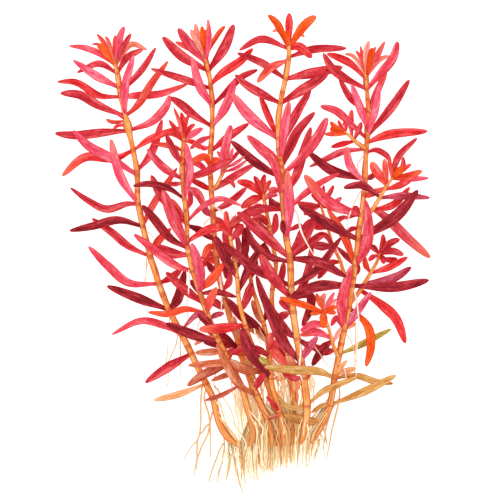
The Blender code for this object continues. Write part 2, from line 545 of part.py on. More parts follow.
def tube_mesh(points, radii, sides_step):
    """A closed tube along the points, from a curve with a bevel depth and filled caps."""
    curve = bpy.data.curves.new("tube", "CURVE")
    curve.dimensions = "3D"
    curve.bevel_depth = 1.0
    curve.bevel_resolution = sides_step
    curve.use_fill_caps = True
    spline = curve.splines.new("POLY")
    spline.points.add(len(points) - 1)
    for spot, point, radius in zip(spline.points, points, radii):
        spot.co = (point.x, point.y, point.z, 1.0)
        spot.radius = radius
    holder = bpy.data.objects.new("tube", curve)
    bpy.context.scene.collection.objects.link(holder)
    evaluated = holder.evaluated_get(bpy.context.evaluated_depsgraph_get())
    mesh = bpy.data.meshes.new_from_object(evaluated)
    bpy.data.objects.remove(holder)
    shape = bmesh.new()
    shape.from_mesh(mesh)
    bmesh.ops.remove_doubles(shape, verts=shape.verts, dist=SAME_POINT)
    bmesh.ops.triangulate(shape, faces=shape.faces)
    shape.to_mesh(mesh)
    shape.free()
    return mesh


def leaf_mesh(rings, tip):
    """A closed leaf from its sections."""
    mesh = bpy.data.meshes.new("leaf")
    corners = [corner for ring in rings for corner in ring] + [tip]
    mesh.from_pydata([tuple(c) for c in corners], [], leaf_faces(rings))
    return mesh


def tree_of(rings, tip):
    """A search tree of a leaf's faces."""
    corners = [corner for ring in rings for corner in ring] + [tip]
    return BVHTree.FromPolygons(corners, leaf_faces(rings))


def box_of(points, margin):
    low = Vector([min(p[i] for p in points) - margin for i in range(3)])
    high = Vector([max(p[i] for p in points) + margin for i in range(3)])
    return low, high


def apart(one, other):
    return any(one[0][i] > other[1][i] or other[0][i] > one[1][i] for i in range(3))


def stem_tree(stem):
    """A search tree of a stem with the room that leaves keep to it."""
    rings = []
    for i in range(0, len(stem.line), 4):
        along = stem.direction(i)
        side = along.cross(Vector((0, 0, 1))).normalized()
        up = side.cross(along)
        radius = stem.radius(i) + CLEAR_OF_OTHERS / 2
        for k in range(6):
            angle = math.pi / 3 * k
            rings.append(stem.line[i] + (side * math.cos(angle) + up * math.sin(angle)) * radius)
    faces = []
    for ring in range(len(rings) // 6 - 1):
        for k in range(6):
            n = (k + 1) % 6
            faces.append((ring * 6 + k, ring * 6 + n, ring * 6 + 6 + n, ring * 6 + 6 + k))
    return BVHTree.FromPolygons(rings, faces), box_of(rings, 0.0)


def leaves_of(name, stems):
    """The plan's leaves of one shoot, then those that hold it off the surface."""
    leaves = list(SHOOTS[name]["leaves"])
    stem = stems[name]
    for down, reach in UNDER_LEAVES.get(name, []):
        passes = []
        for share in (0.5, 1.0):
            spot = stem.line[stem.index_at(down + reach * share)]
            passes.append((spot.x / SQUARE + PLAN_MIDDLE[0], down + reach * share))
        start = stem.line[stem.index_at(down)]
        leaves.append((down, UNDER_LEAF_WIDTH, -start.z / MM, *passes))
    return leaves


def lifts_to_try(leaf, plan_length):
    """The leaf's own lift first, then others further and further from it."""
    steepest = STEEPEST * plan_length / MM
    for attempt in range(2 * LIFT_TRIES + 1):
        step = (attempt + 1) // 2 * (1 if attempt % 2 else -1)
        lift = leaf[2] + step * LIFT_STEP
        if abs(lift) <= max(steepest, abs(leaf[2])):
            yield lift


def is_free(name, box, whole, outer, taken, among_own):
    """Whether a leaf touches no other shoot and, if asked, no leaf of its own."""
    for owner, other_whole, other_outer, other_box in taken:
        if apart(box, other_box):
            continue
        if owner != name:
            if whole.overlap(other_whole):
                return False
        elif among_own and other_outer and outer.overlap(other_outer):
            return False
    return True


def grow_leaves(stems):
    """Every leaf of every shoot, each lifted or lowered until it touches nothing of another."""
    taken = []
    for name, stem in stems.items():
        tree, box = stem_tree(stem)
        taken.append((name, tree, None, box))
    grown = {name: [] for name in stems}
    for name, stem in stems.items():
        for leaf in leaves_of(name, stems):
            level = leaf_line(stem, leaf, 0.0, LEAF_POINTS)
            plan_length = sum((b - a).length for a, b in zip(level, level[1:]))
            tries = [(lift, plan_length > SMALL_LEAF) for lift in lifts_to_try(leaf, plan_length)]
            tries += [(lift, False) for lift in lifts_to_try(leaf, plan_length)]
            for lift, among_own in tries:
                line = leaf_line(stem, leaf, lift, LEAF_POINTS)
                rings, tip = leaf_rings(line, leaf[1], CLEAR_OF_OTHERS / 2)
                whole = tree_of(rings, tip)
                outer = tree_of(rings[1:], tip)
                box = box_of([c for ring in rings for c in ring] + [tip], 0.0)
                if is_free(name, box, whole, outer, taken, among_own):
                    taken.append((name, whole, outer, box))
                    grown[name].append((line, leaf))
                    break
            else:
                print("no room", name, leaf)
    return grown


def join_solids(name, body, additions, material):
    """One solid from a body and what grows on it."""
    whole = bpy.data.objects.new(name, body)
    bunch.objects.link(whole)
    whole.data.materials.append(material)
    if additions:
        shape = bmesh.new()
        for addition in additions:
            shape.from_mesh(addition)
        bmesh.ops.triangulate(shape, faces=shape.faces)
        grown = bpy.data.meshes.new(name + "_grown")
        shape.to_mesh(grown)
        shape.free()
        guide = bpy.data.objects.new(name + "_guide", grown)
        guides.objects.link(guide)
        guide.hide_render = True
        guide.display_type = "WIRE"
        union = whole.modifiers.new("grown", "BOOLEAN")
        union.operation = "UNION"
        union.solver = "EXACT"
        union.use_self = True
        union.object = guide
    return whole


def thin_out(solid):
    """Fewer faces for the same form: flat ones joined, then the smallest folds taken up."""
    flat = solid.modifiers.new("flat", "DECIMATE")
    flat.decimate_type = "DISSOLVE"
    flat.angle_limit = math.radians(FLAT_WITHIN)
    solid.modifiers.new("triangles", "TRIANGULATE")
    fewer = solid.modifiers.new("fewer", "DECIMATE")
    fewer.decimate_type = "COLLAPSE"
    fewer.ratio = KEPT_FACES


def plain_material(name, colour):
    material = bpy.data.materials.new(name)
    material.use_nodes = True
    shader = material.node_tree.nodes["Principled BSDF"]
    shader.inputs["Base Color"].default_value = (*colour, 1.0)
    shader.inputs["Roughness"].default_value = ROUGHNESS
    return material


def shoot_solid(name, stem, grown, material):
    """A stem with its leaves."""
    length = sum((b - a).length for a, b in zip(stem.line, stem.line[1:]))
    count = max(5, round(length / STEM_SECTION) + 1)
    picks = [round(i * (len(stem.line) - 1) / (count - 1)) for i in range(count)]
    body = tube_mesh([stem.line[i] for i in picks], [stem.radius(i) for i in picks], 1)
    blades = []
    for line, leaf in grown:
        blades.append(leaf_mesh(*leaf_rings(line, leaf[1])))
    thin_out(join_solids(name, body, blades, material))


def root_tube(points, start_radius):
    """One lock of roots, tapering to its tip."""
    line = curve_through(points, len(points) + 1)
    last = len(line) - 1
    radii = [start_radius + (ROOT_TIP - start_radius) * i / last for i in range(last + 1)]
    return tube_mesh(line, radii, 0)


def stem_roots(name, stem, locks, material):
    """The roots of a cut end, a small gap below it."""
    out = -stem.direction(0)
    start = stem.line[0] + out * GAP
    radius = stem.radius(0)
    tubes = []
    for number, lock in enumerate(locks):
        points = [place(*spot) for spot in lock]
        if number == 0:
            points[0:0] = [start, start + out * radius]
        tubes.append(root_tube(points, radius if number == 0 else radius * BRANCH_RADIUS))
    thin_out(join_solids(name, tubes[0], tubes[1:], material))


def loose_roots(name, locks, material):
    """Single long roots, joined where they fork."""
    tubes = [root_tube([place(*spot) for spot in lock], LOOSE_ROOT_RADIUS) for lock in locks]
    thin_out(join_solids(name, tubes[0], tubes[1:], material))


for item in list(bpy.data.objects):
    bpy.data.objects.remove(item)
bunch = bpy.data.collections.new("rotala")
guides = bpy.data.collections.new("guides")
bpy.context.scene.collection.children.link(bunch)
bpy.context.scene.collection.children.link(guides)

stems = grow_stems()
leaves = grow_leaves(stems)
for shoot_name, shoot_stem in stems.items():
    tint = plain_material(shoot_name + "_red", SHOOT_COLOURS.get(shoot_name, LEAF_RED))
    shoot_solid(shoot_name + "_shoot", shoot_stem, leaves[shoot_name], tint)
root_tan = plain_material("root_tan", ROOT_TAN)
for shoot_name, shoot_locks in STEM_ROOTS.items():
    stem_roots(shoot_name + "_roots", stems[shoot_name], shoot_locks, root_tan)
for root_name, root_locks in LOOSE_ROOTS.items():
    loose_roots(root_name, root_locks, root_tan)
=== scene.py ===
"""Looks of a bunch of red rotala that lies on a pale surface, seen from straight above."""
import math
import random

import bpy
import numpy as np
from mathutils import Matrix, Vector
from mathutils.bvhtree import BVHTree


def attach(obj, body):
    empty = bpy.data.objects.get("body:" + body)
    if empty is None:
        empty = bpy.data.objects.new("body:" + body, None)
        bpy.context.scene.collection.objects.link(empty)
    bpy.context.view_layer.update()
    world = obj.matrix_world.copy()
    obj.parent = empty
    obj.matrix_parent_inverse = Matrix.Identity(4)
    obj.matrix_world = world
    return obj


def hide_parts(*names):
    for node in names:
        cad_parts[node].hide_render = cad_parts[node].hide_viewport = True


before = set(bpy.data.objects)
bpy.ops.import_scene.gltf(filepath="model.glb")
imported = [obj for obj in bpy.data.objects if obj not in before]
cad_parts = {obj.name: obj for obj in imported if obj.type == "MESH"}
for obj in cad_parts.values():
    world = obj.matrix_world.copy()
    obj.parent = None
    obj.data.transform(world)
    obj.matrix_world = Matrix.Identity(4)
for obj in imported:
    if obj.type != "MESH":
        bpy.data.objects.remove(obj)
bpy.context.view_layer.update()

# The growing plan, as the solids follow it: squares across and down, heights in millimetres.
BUNCH_LENGTH = 0.180
PLAN_LENGTH = 481
SQUARE = BUNCH_LENGTH / PLAN_LENGTH
PLAN_MIDDLE = (242.0, 253.56)
MM = 0.001

# A stem thins by this share from its cut end to its tip. A side shoot keeps the gap to its parent.
STEM_TAPER = 0.45
STEM_POINTS = 120
GAP = 0.0005

# The solid leaf: its thickness, the shares of its planned width at its foot and at its widest,
# how far along that is, and how blunt its tip is. Shorter leaves have fewer sections.
LEAF_THICKNESS = 0.0008
LEAF_FOOT = 0.45
LEAF_FULLNESS = 1.07
LEAF_SWELL = 0.50
TIP_BLUNTNESS = 5
LEAF_POINTS = 41
SMALL_LEAF = 0.010
LONG_LEAF = 0.026

# A leaf starts inside its stem, this share of the stem's radius outwards. It starts higher or lower
# by the share lift / FULL_LIFT of the radius, with the lift in millimetres, but by LEAF_SIDE at most,
# and TIP_ROOM stem points or more below the tip.
LEAF_START = 0.15
LEAF_SIDE = 0.35
FULL_LIFT = 20.0
TIP_ROOM = 4

# How a leaf is lifted or lowered until it is clear of other shoots: how steep it may get for its
# length, the room it keeps, the steps in millimetres and how many are tried each way.
STEEPEST = 0.9
CLEAR_OF_OTHERS = 0.0007
LIFT_STEP = 1.2
LIFT_TRIES = 14

# The planned width of a leaf that holds the bunch off the surface, in squares.
UNDER_LEAF_WIDTH = 6

# The search tree of a stem takes every so many of its points, with so many sides.
TREE_STEP = 4
TREE_SIDES = 6

# The fine blade: its thickness, how fast that falls off to the rim, the groove along its midrib,
# its sections and the steps across one, how the sections crowd towards the tip, the level of its
# channel, and the waves of its rim.
BLADE_AT_MIDRIB = 0.00042
BLADE_AT_EDGE = 0.00016
BLADE_FALL = 1.5
MIDRIB_GROOVE = 0.00006
LEAF_LENGTHS = 20
LEAF_ACROSS = 8
LEAF_CROWDING = 1.25
CHANNEL_LEVEL = 0.3
RIM_WAVES = 5.5
RIM_LAG = 1.2

# Nothing is lower than this above the surface.
LOWEST = 0.0001

# The fine stem: narrower between its whorls than at them, with shallow flutes, drawn in at its
# cut end over so many points, and closed at its tip.
STEM_SIDES = 14
STEM_BETWEEN = 0.96
WHORL_SWELL = 0.12
WHORL_REACH = 1.1
KNOB_WIDTH = 1.5
FLUTES = 4
FLUTE_DEPTH = 0.03
CUT_END_WIDTH = 0.45
CUT_END_TAPER = 7
STEM_TIP_WIDTH = 0.3

# A strand sways this far from its line, in long bends and, by a share of that, in short ones. It
# sways up and down by a share of its sway aside. At its fullest it has this share of its radius.
STRAND_SIDES = 6
STRAND_SWAY = 0.0002
LONG_BENDS = (6, 5)
SHORT_BENDS = (17, 14)
SHORT_BEND_SHARE = 0.4
UPWARD_SWAY = 0.6
STRAND_FULLNESS = 1.05

# Patterns in millimetres: the gap between lines and how long they run. Real leaf veins lie some
# 0.2 apart; they are drawn coarser here, because finer ones don't show in the picture. The last one
# spreads the leaves out in the noise, so that each has a pattern of its own.
LEAF_WASH_GAP = 1.6
LEAF_WASH_LENGTH = 7.0
LEAF_VEIN_GAP = 0.55
LEAF_VEIN_LENGTH = 5.0
LEAF_FLECK_GAP = 0.6
LEAF_FLECK_LENGTH = 1.6
STEM_FIBRE_GAP = 0.7
STEM_FIBRE_LENGTH = 5.0
STEM_PATCH_GAP = 2.0
STEM_PATCH_LENGTH = 8.0
ROOT_MOTTLE_GAP = 1.0
ROOT_MOTTLE_LENGTH = 4.0
OTHER_LEAF = 40.0

# How strongly a root glows in its own colour: painted light that stands for light passing through a thin
# root and lifts the shade where roots crowd.
ROOT_GLOW = 0.13

# The surface that the bunch lies on, and the light all round it.
BOARD_SIZE = 3.0
BOARD_GLOW = 0.7
STUDIO_BRIGHTNESS = 0.85

# Leaf tones: the deepest, the middle and the palest colour of each. The deepest and the palest serve both
# for patches of the leaf's own colour and for its half painted in shade and its half painted lit.
TONES = {
    "amber": ("#EA4410", "#F4580C", "#F86C34"),
    "orange": ("#E83C26", "#F6522E", "#F86E4E"),
    "peach": ("#EE9C60", "#F6AE74", "#FAC49E"),
    "blush": ("#EE7E62", "#F89C86", "#FCBEB0"),
    "coral": ("#DE3830", "#F25648", "#F87C72"),
    "scarlet": ("#CE1C24", "#E83638", "#F26662"),
    "pink": ("#EA4260", "#FA5E76", "#FE8A98"),
    "rose": ("#D63444", "#EA4A5A", "#F67C84"),
    "crimson": ("#B41C28", "#D23440", "#E86264"),
    "wine": ("#78141E", "#9E1E2A", "#C23E46"),
    "plum": ("#A42A40", "#C8445C", "#DC6E80"),
    "mauve": ("#D03A58", "#E6506A", "#F28A9C"),
    "rust": ("#A8442E", "#C65E46", "#DC8C6C"),
    "brick": ("#C05A3A", "#DC784E", "#EEA884"),
    "ochre": ("#BC7C3C", "#D69C52", "#E6BA7A"),
    "olive": ("#9C8638", "#BEAC4A", "#D2CC6C"),
}
UNDER_TONE = "wine"

# How much of the glow at a leaf's tip these tones keep. The others keep all of it.
TIP_GLOW = {
    "wine": 0.0, "rust": 0.0, "ochre": 0.0, "olive": 0.0,
    "plum": 0.3, "mauve": 0.3, "peach": 0.3, "crimson": 0.75,
}

# A stem runs from its lower end to its tip, in points of (across, down, height). Each leaf is (where
# it leaves the stem, tone, width, how far its tip stands above the stem, the places that its midrib
# passes, the last one its tip).
SHOOTS = {
    "far_left": dict(
        thick=8.0,
        stem=[(238, 446, 7), (227, 437, 7), (220, 425, 7), (216, 412, 7), (213, 399, 7), (206, 384, 8),
              (196, 364, 9), (184, 339, 9), (169, 310, 9), (155, 273, 9), (145, 236, 9), (138, 204, 9),
              (137, 175, 9), (133, 150, 9), (125, 116, 8), (119, 90, 7), (117, 73, 7), (113, 54, 7)],
        leaves=[
            (384, "peach", 7, -5, (178, 395), (153, 401)),
            (354, "crimson", 10, 3, (167, 368), (145, 383)),
            (334, "rose", 8, 4, (165, 326), (140, 321), (111, 335)),
            (308, "wine", 10, -3, (137, 298), (106, 286)), (308, "wine", 10, 4, (178, 298), (185, 270)),
            (286, "crimson", 8, -5, (172, 277), (182, 268)),
            (284, "rose", 9, 3, (129, 283), (108, 266), (88, 246)),
            (257, "crimson", 8, -3, (128, 246), (111, 232), (91, 218)),
            (257, "coral", 8, -6, (158, 241), (171, 228)),
            (226, "wine", 9, 4, (118, 220), (93, 226), (69, 231)),
            (227, "coral", 7, -6, (153, 204), (177, 167)),
            (204, "crimson", 8, -4, (126, 204), (106, 209), (87, 200), (69, 187)),
            (202, "pink", 9, 7, (120, 175), (111, 139)),
            (176, "pink", 10, 4, (112, 159), (89, 146), (73, 130)),
            (173, "rose", 8, -3, (152, 151), (162, 119)),
            (150, "scarlet", 9, -4, (114, 158), (84, 157), (61, 176)),
            (150, "scarlet", 7, 2, (152, 138), (182, 127)),
            (133, "crimson", 9, -2, (105, 132), (75, 135), (54, 133)),
            (133, "rose", 9, 3, (151, 122), (165, 108), (170, 95)),
            (121, "coral", 4, 3, (113, 122), (106, 119)), (127, "scarlet", 4, 3, (119, 125), (113, 129)),
            (120, "rose", 4, 4, (117, 113), (112, 109)),
            (118, "coral", 8, -3, (138, 104), (151, 83), (168, 60)),
            (117, "pink", 9, 7, (125, 88), (134, 55)),
            (118, "crimson", 9, 3, (100, 106), (80, 95), (60, 93)),
            (97, "rose", 8, -5, (135, 95), (160, 93), (188, 83)),
            (98, "scarlet", 8, -4, (98, 95), (76, 82), (56, 81)),
            (93, "crimson", 7, 2, (142, 69), (156, 47)), (86, "pink", 9, 5, (95, 75), (73, 60)),
            (73, "crimson", 7, -3, (98, 63), (76, 72)), (72, "crimson", 7, 2, (127, 57), (143, 49)),
            (61, "rose", 7, -3, (99, 53), (84, 47), (68, 45)),
            (58, "blush", 6, -3, (130, 44), (147, 49)), (59, "crimson", 6, 3, (123, 47), (131, 33)),
            (56, "pink", 7, 2, (119, 40), (124, 26)), (55, "coral", 4, -3, (114, 43), (115, 34)),
            (55, "coral", 4, 3, (109, 43), (105, 36)), (57, "amber", 10, 1, (106, 51), (97, 44)),
            (55, "coral", 5, -1, (104, 43), (96, 33)), (56, "rose", 3, -4, (100, 45), (91, 43)),
        ]),
    "left": dict(
        thick=7.5,
        stem=[(250, 447, 10), (253, 437, 10), (252, 425, 10), (248, 411, 10), (244, 395, 11),
              (240, 383, 12), (233, 369, 14), (224, 351, 15), (214, 331, 16), (206, 310, 16),
              (198, 287, 15), (191, 265, 15), (187, 242, 14), (187, 222, 14), (184, 195, 13),
              (182, 168, 12), (183, 148, 11), (184, 133, 11)],
        leaves=[
            (384, "rust", 5, -3, (222, 395), (204, 401)), (373, "brick", 6, -3, (224, 376), (211, 381)),
            (365, "rust", 9, -4, (218, 368), (203, 375), (187, 386)),
            (364, "brick", 8, 3, (218, 363), (188, 365)), (350, "brick", 7, -5, (212, 352), (195, 353)),
            (343, "wine", 10, 4, (192, 334), (166, 323)), (338, "blush", 5, -2, (205, 338), (194, 345)),
            (324, "plum", 6, 1, (199, 314), (184, 327)), (318, "plum", 6, -4, (216, 315), (224, 313)),
            (312, "orange", 7, 2, (186, 309), (168, 314), (148, 312)),
            (314, "coral", 9, 5, (210, 301), (217, 287)), (303, "crimson", 9, 1, (186, 290), (166, 272)),
            (300, "crimson", 8, -3, (214, 302), (224, 309)),
            (296, "wine", 6, -5, (195, 286), (190, 280)), (328, "wine", 8, 5, (207, 321), (198, 314)),
            (295, "wine", 7, 3, (218, 292), (237, 297)), (292, "pink", 10, 7, (200, 270), (192, 243)),
            (290, "orange", 9, 4, (212, 279), (224, 263)),
            (271, "rose", 9, 4, (175, 265), (156, 251), (134, 234)),
            (254, "crimson", 10, -5, (172, 253), (157, 246)),
            (250, "wine", 9, 1, (170, 238), (155, 220), (142, 205)),
            (249, "rose", 12, 7, (174, 219), (163, 190)),
            (243, "scarlet", 9, 5, (205, 231), (222, 227), (243, 225)),
            (224, "wine", 8, -3, (201, 231), (214, 240)),
            (221, "rose", 6, 6, (201, 208), (220, 199), (242, 206)),
            (222, "crimson", 9, -2, (163, 198), (151, 175)),
            (226, "coral", 9, -5, (178, 212), (170, 199)),
            (200, "wine", 7, 3, (168, 188), (150, 184), (133, 186)),
            (199, "pink", 8, 6, (190, 172), (186, 143)), (186, "rose", 8, -1, (197, 193), (204, 206)),
            (212, "rose", 6, -5, (190, 202), (190, 190)),
            (184, "crimson", 5, -5, (175, 184), (167, 183)), (181, "rose", 8, 2, (164, 168), (147, 149)),
            (179, "crimson", 8, 4, (206, 172), (231, 159)),
            (177, "crimson", 6, -5, (200, 184), (211, 190)),
            (165, "crimson", 8, 3, (174, 151), (166, 134)), (158, "rose", 7, -3, (197, 163), (208, 172)),
            (151, "coral", 6, -4, (170, 146), (152, 143)), (141, "coral", 5, -3, (193, 142), (201, 149)),
            (137, "scarlet", 5, 2, (176, 130), (169, 120)),
            (136, "scarlet", 6, -1, (172, 133), (160, 135)),
            (135, "coral", 4, 4, (179, 121), (174, 108)), (135, "scarlet", 6, 1, (184, 124), (181, 112)),
            (135, "coral", 4, -4, (186, 122), (189, 114)),
            (136, "scarlet", 5, 2, (189, 129), (195, 124)), (138, "pink", 7, 0, (194, 133), (203, 128)),
        ]),
    "back_left": dict(
        thick=7.5,
        stem=[(272, 447, 10), (271, 434, 10), (268, 421, 10), (263, 409, 10), (257, 396, 10),
              (251, 382, 9), (246, 368, 8), (241, 354, 7), (237, 338, 7), (231, 322, 8), (225, 300, 9),
              (219, 277, 10), (215, 245, 10), (213, 215, 10), (211, 185, 10), (210, 160, 10),
              (212, 130, 9), (212, 105, 9), (210, 80, 8), (206, 62, 8), (203, 48, 8)],
        leaves=[
            (395, "brick", 9, 11, (240, 385), (227, 365), (217, 343)),
            (390, "crimson", 8, 4, (259, 381), (265, 373)), (350, "wine", 10, 4, (222, 337), (206, 330)),
            (345, "wine", 7, -3, (222, 346), (203, 343)),
            (300, "crimson", 6, -4, (232, 306), (238, 314)), (292, "rose", 7, 3, (229, 282), (230, 270)),
            (266, "wine", 7, -4, (213, 270), (207, 262)),
            (257, "crimson", 8, -5, (210, 255), (201, 258)),
            (262, "coral", 8, -6, (209, 260), (202, 266)), (246, "orange", 8, 3, (209, 248), (203, 258)),
            (218, "plum", 7, -3, (206, 211), (201, 201)), (217, "rose", 7, -3, (220, 222), (225, 231)),
            (214, "crimson", 7, 3, (230, 202), (247, 187)), (356, "rose", 7, 3, (231, 352), (227, 362)),
            (191, "rose", 8, 1, (233, 177), (256, 163)), (164, "orange", 8, 6, (204, 157), (190, 162)),
            (164, "orange", 6, 4, (216, 160), (222, 166)),
            (150, "crimson", 8, -2, (228, 137), (249, 123)),
            (147, "pink", 5, -4, (204, 148), (198, 144)), (136, "rose", 6, 3, (200, 141), (190, 149)),
            (126, "crimson", 9, 2, (194, 115), (182, 105), (170, 97)),
            (127, "pink", 9, 5, (226, 106), (235, 80)),
            (105, "crimson", 7, -2, (226, 92), (241, 77), (258, 69)),
            (105, "pink", 10, 5, (200, 86), (192, 57)), (89, "crimson", 8, -3, (184, 79), (150, 68)),
            (86, "scarlet", 9, 2, (222, 73), (240, 61), (253, 48)),
            (71, "crimson", 10, 3, (224, 48), (234, 24)), (71, "crimson", 10, -2, (182, 56), (162, 36)),
            (62, "rose", 10, 3, (190, 45), (178, 28)), (56, "blush", 6, 4, (197, 42), (190, 32)),
            (61, "pink", 6, 5, (209, 40), (208, 19)), (46, "orange", 5, -2, (217, 35), (225, 25)),
            (54, "coral", 5, -3, (185, 46), (175, 41)), (50, "blush", 6, 1, (198, 36), (195, 23)),
            (49, "blush", 3, -3, (196, 34), (189, 29)), (49, "amber", 6, 4, (203, 37), (202, 26)),
            (49, "amber", 5, 0, (205, 36), (206, 29)),
        ]),
    "centre": dict(
        thick=8.5,
        stem=[(301, 444, 12), (305, 426, 13), (307, 408, 15), (305, 388, 17), (302, 368, 20),
              (298, 345, 22), (294, 320, 23), (291, 290, 23), (290, 262, 22), (286, 236, 21),
              (283, 205, 20), (282, 175, 18), (279, 150, 17), (278, 125, 15), (281, 100, 14),
              (286, 76, 13), (289, 57, 12), (288, 38, 12)],
        leaves=[
            (405, "ochre", 7, -4, (322, 392), (340, 384), (358, 377)),
            (406, "ochre", 5, -5, (294, 408), (281, 405)),
            (378, "crimson", 6, -5, (294, 378), (282, 373)),
            (378, "crimson", 5, -4, (307, 377), (310, 373)),
            (361, "wine", 12, 6, (284, 343), (273, 318), (264, 296)),
            (362, "plum", 8, 4, (308, 348), (317, 336)), (338, "wine", 5, 2, (303, 342), (307, 347)),
            (338, "wine", 9, 2, (286, 330), (267, 304), (256, 275)),
            (372, "brick", 8, 3, (291, 362), (287, 353)),
            (313, "crimson", 7, -3, (286, 306), (279, 300)),
            (313, "crimson", 6, -4, (283, 314), (275, 318)),
            (297, "wine", 9, -5, (309, 295), (310, 308), (302, 326)),
            (297, "crimson", 11, 6, (272, 276), (260, 254)),
            (284, "wine", 10, 2, (254, 268), (223, 243)), (284, "wine", 8, -3, (315, 271), (341, 237)),
            (261, "wine", 9, -3, (268, 256), (253, 243), (246, 226)),
            (258, "crimson", 11, 4, (264, 235), (237, 212)),
            (258, "wine", 10, 1, (318, 262), (346, 277)),
            (256, "crimson", 13, -5, (300, 242), (308, 228), (315, 219)),
            (300, "crimson", 8, -7, (303, 284), (309, 266), (312, 243)),
            (230, "crimson", 5, -6, (296, 227), (302, 224)),
            (238, "pink", 10, 8, (289, 205), (287, 171)), (236, "wine", 6, 4, (283, 229), (282, 220)),
            (211, "crimson", 10, 1, (262, 209), (246, 214), (229, 227)),
            (212, "rose", 7, -5, (302, 196), (320, 183), (340, 173)),
            (205, "wine", 6, -6, (275, 204), (269, 198)),
            (200, "rose", 11, 3, (274, 163), (261, 149), (247, 136)),
            (190, "rose", 6, -6, (274, 190), (268, 190)),
            (198, "crimson", 9, -3, (295, 178), (303, 153), (311, 127)),
            (176, "rose", 10, 2, (305, 154), (318, 136), (327, 118)),
            (178, "wine", 9, -3, (256, 163), (231, 141)),
            (166, "crimson", 10, -2, (289, 150), (298, 131), (315, 112)),
            (160, "pink", 9, 6, (284, 131), (289, 102)), (150, "crimson", 9, -4, (296, 114), (311, 89)),
            (140, "pink", 11, 3, (251, 118), (231, 93)), (139, "scarlet", 7, -2, (268, 116), (260, 96)),
            (102, "crimson", 10, 2, (304, 89), (328, 74)),
            (102, "crimson", 9, 1, (265, 96), (247, 86), (235, 75)),
            (79, "crimson", 10, -3, (312, 73), (343, 67)), (80, "crimson", 8, -3, (262, 63), (237, 53)),
            (60, "coral", 8, 4, (271, 68), (257, 83)), (57, "crimson", 8, -2, (315, 49), (347, 48)),
            (48, "crimson", 8, -1, (262, 39), (239, 50)), (36, "scarlet", 9, 2, (300, 47), (312, 58)),
            (34, "blush", 4, -3, (280, 31), (272, 31)), (34, "blush", 4, -3, (297, 32), (305, 37)),
            (34, "amber", 8, 3, (278, 25), (268, 15)), (34, "scarlet", 8, 1, (289, 24), (289, 13)),
            (34, "amber", 9, 2, (303, 27), (316, 16)), (40, "amber", 6, 5, (287, 36), (286, 31)),
        ]),
    "right": dict(
        thick=7.5,
        stem=[(311, 444, 6), (320, 429, 6), (328, 412, 7), (332, 396, 8), (335, 376, 10),
              (340, 350, 12), (345, 325, 13), (350, 300, 14), (354, 272, 14), (358, 240, 14),
              (362, 210, 13), (365, 180, 12), (366, 155, 11), (368, 130, 10), (368, 105, 9),
              (367, 85, 8), (366, 68, 8)],
        leaves=[
            (405, "ochre", 5, 3, (322, 406), (311, 413)), (405, "ochre", 8, 2, (366, 391), (397, 375)),
            (377, "ochre", 9, 15, (318, 371), (290, 369), (264, 366)),
            (379, "ochre", 7, -3, (356, 376), (376, 382), (394, 384)),
            (375, "peach", 5, 3, (341, 367), (347, 360)), (376, "peach", 6, 1, (346, 371), (356, 368)),
            (355, "olive", 7, -4, (365, 343), (392, 329)), (330, "peach", 5, -3, (350, 326), (357, 324)),
            (329, "pink", 6, -2, (337, 318), (331, 326)), (330, "mauve", 8, 2, (356, 313), (371, 292)),
            (331, "rose", 12, 6, (342, 300), (351, 265)),
            (306, "amber", 9, -2, (367, 325), (371, 346), (366, 367)),
            (284, "wine", 11, 13, (318, 286), (289, 297)), (284, "wine", 10, 2, (394, 287), (429, 280)),
            (277, "wine", 5, -4, (358, 270), (357, 262)), (267, "wine", 6, -3, (346, 256), (337, 247)),
            (266, "orange", 9, 1, (344, 236), (327, 208)),
            (264, "rose", 12, 7, (364, 250), (368, 228), (365, 200)),
            (238, "wine", 11, 4, (328, 224), (298, 205)), (238, "wine", 12, 3, (395, 217), (418, 190)),
            (228, "crimson", 5, -4, (352, 229), (348, 232)),
            (217, "crimson", 6, -4, (355, 214), (345, 219)),
            (215, "crimson", 5, -6, (356, 208), (350, 211)),
            (216, "rose", 12, 4, (328, 202), (304, 175)), (183, "pink", 8, 6, (350, 166), (346, 147)),
            (178, "wine", 10, 2, (331, 170), (307, 151)), (178, "wine", 6, -3, (371, 177), (377, 172)),
            (154, "crimson", 6, 2, (376, 150), (386, 155), (391, 163)),
            (149, "rose", 7, 2, (345, 151), (328, 158), (309, 167)),
            (141, "scarlet", 9, 1, (391, 134), (428, 131)),
            (140, "rose", 8, 3, (348, 121), (336, 111), (320, 106)),
            (134, "crimson", 9, -3, (392, 107), (410, 79)), (136, "pink", 8, 5, (375, 110), (379, 86)),
            (129, "pink", 9, 5, (360, 108), (351, 84)), (112, "crimson", 7, -2, (351, 98), (339, 77)),
            (112, "rose", 7, -2, (377, 92), (387, 71)),
            (90, "crimson", 9, 2, (345, 78), (332, 68), (323, 53)),
            (88, "rose", 9, 3, (381, 73), (393, 58), (398, 41)),
            (79, "scarlet", 8, -3, (352, 64), (339, 57), (327, 53)),
            (76, "rose", 7, 3, (376, 58), (385, 41)), (70, "blush", 4, -3, (355, 57), (345, 53)),
            (68, "blush", 5, -3, (379, 60), (390, 55)), (67, "coral", 4, -1, (361, 58), (356, 50)),
            (67, "rose", 4, -3, (363, 57), (361, 45)), (67, "blush", 6, 2, (366, 54), (369, 40)),
            (67, "amber", 7, 4, (371, 57), (372, 48)), (67, "coral", 5, -1, (372, 55), (376, 46)),
        ]),
    "inner_left": dict(
        thick=7.0,
        stem=[(278, 447, 6), (277, 425, 6), (273, 403, 6), (267, 383, 8), (260, 365, 11),
              (252, 345, 15), (245, 324, 18), (239, 300, 19), (237, 275, 19), (233, 252, 19),
              (229, 232, 19)],
        leaves=[
            (372, "brick", 10, 3, (244, 369), (229, 360)), (352, "ochre", 9, -8, (248, 364), (255, 380)),
            (350, "rose", 6, -3, (240, 350), (231, 354)),
            (324, "scarlet", 10, 4, (222, 328), (199, 329)),
            (345, "brick", 8, 3, (236, 330), (233, 316)), (328, "brick", 6, -5, (258, 333), (268, 343)),
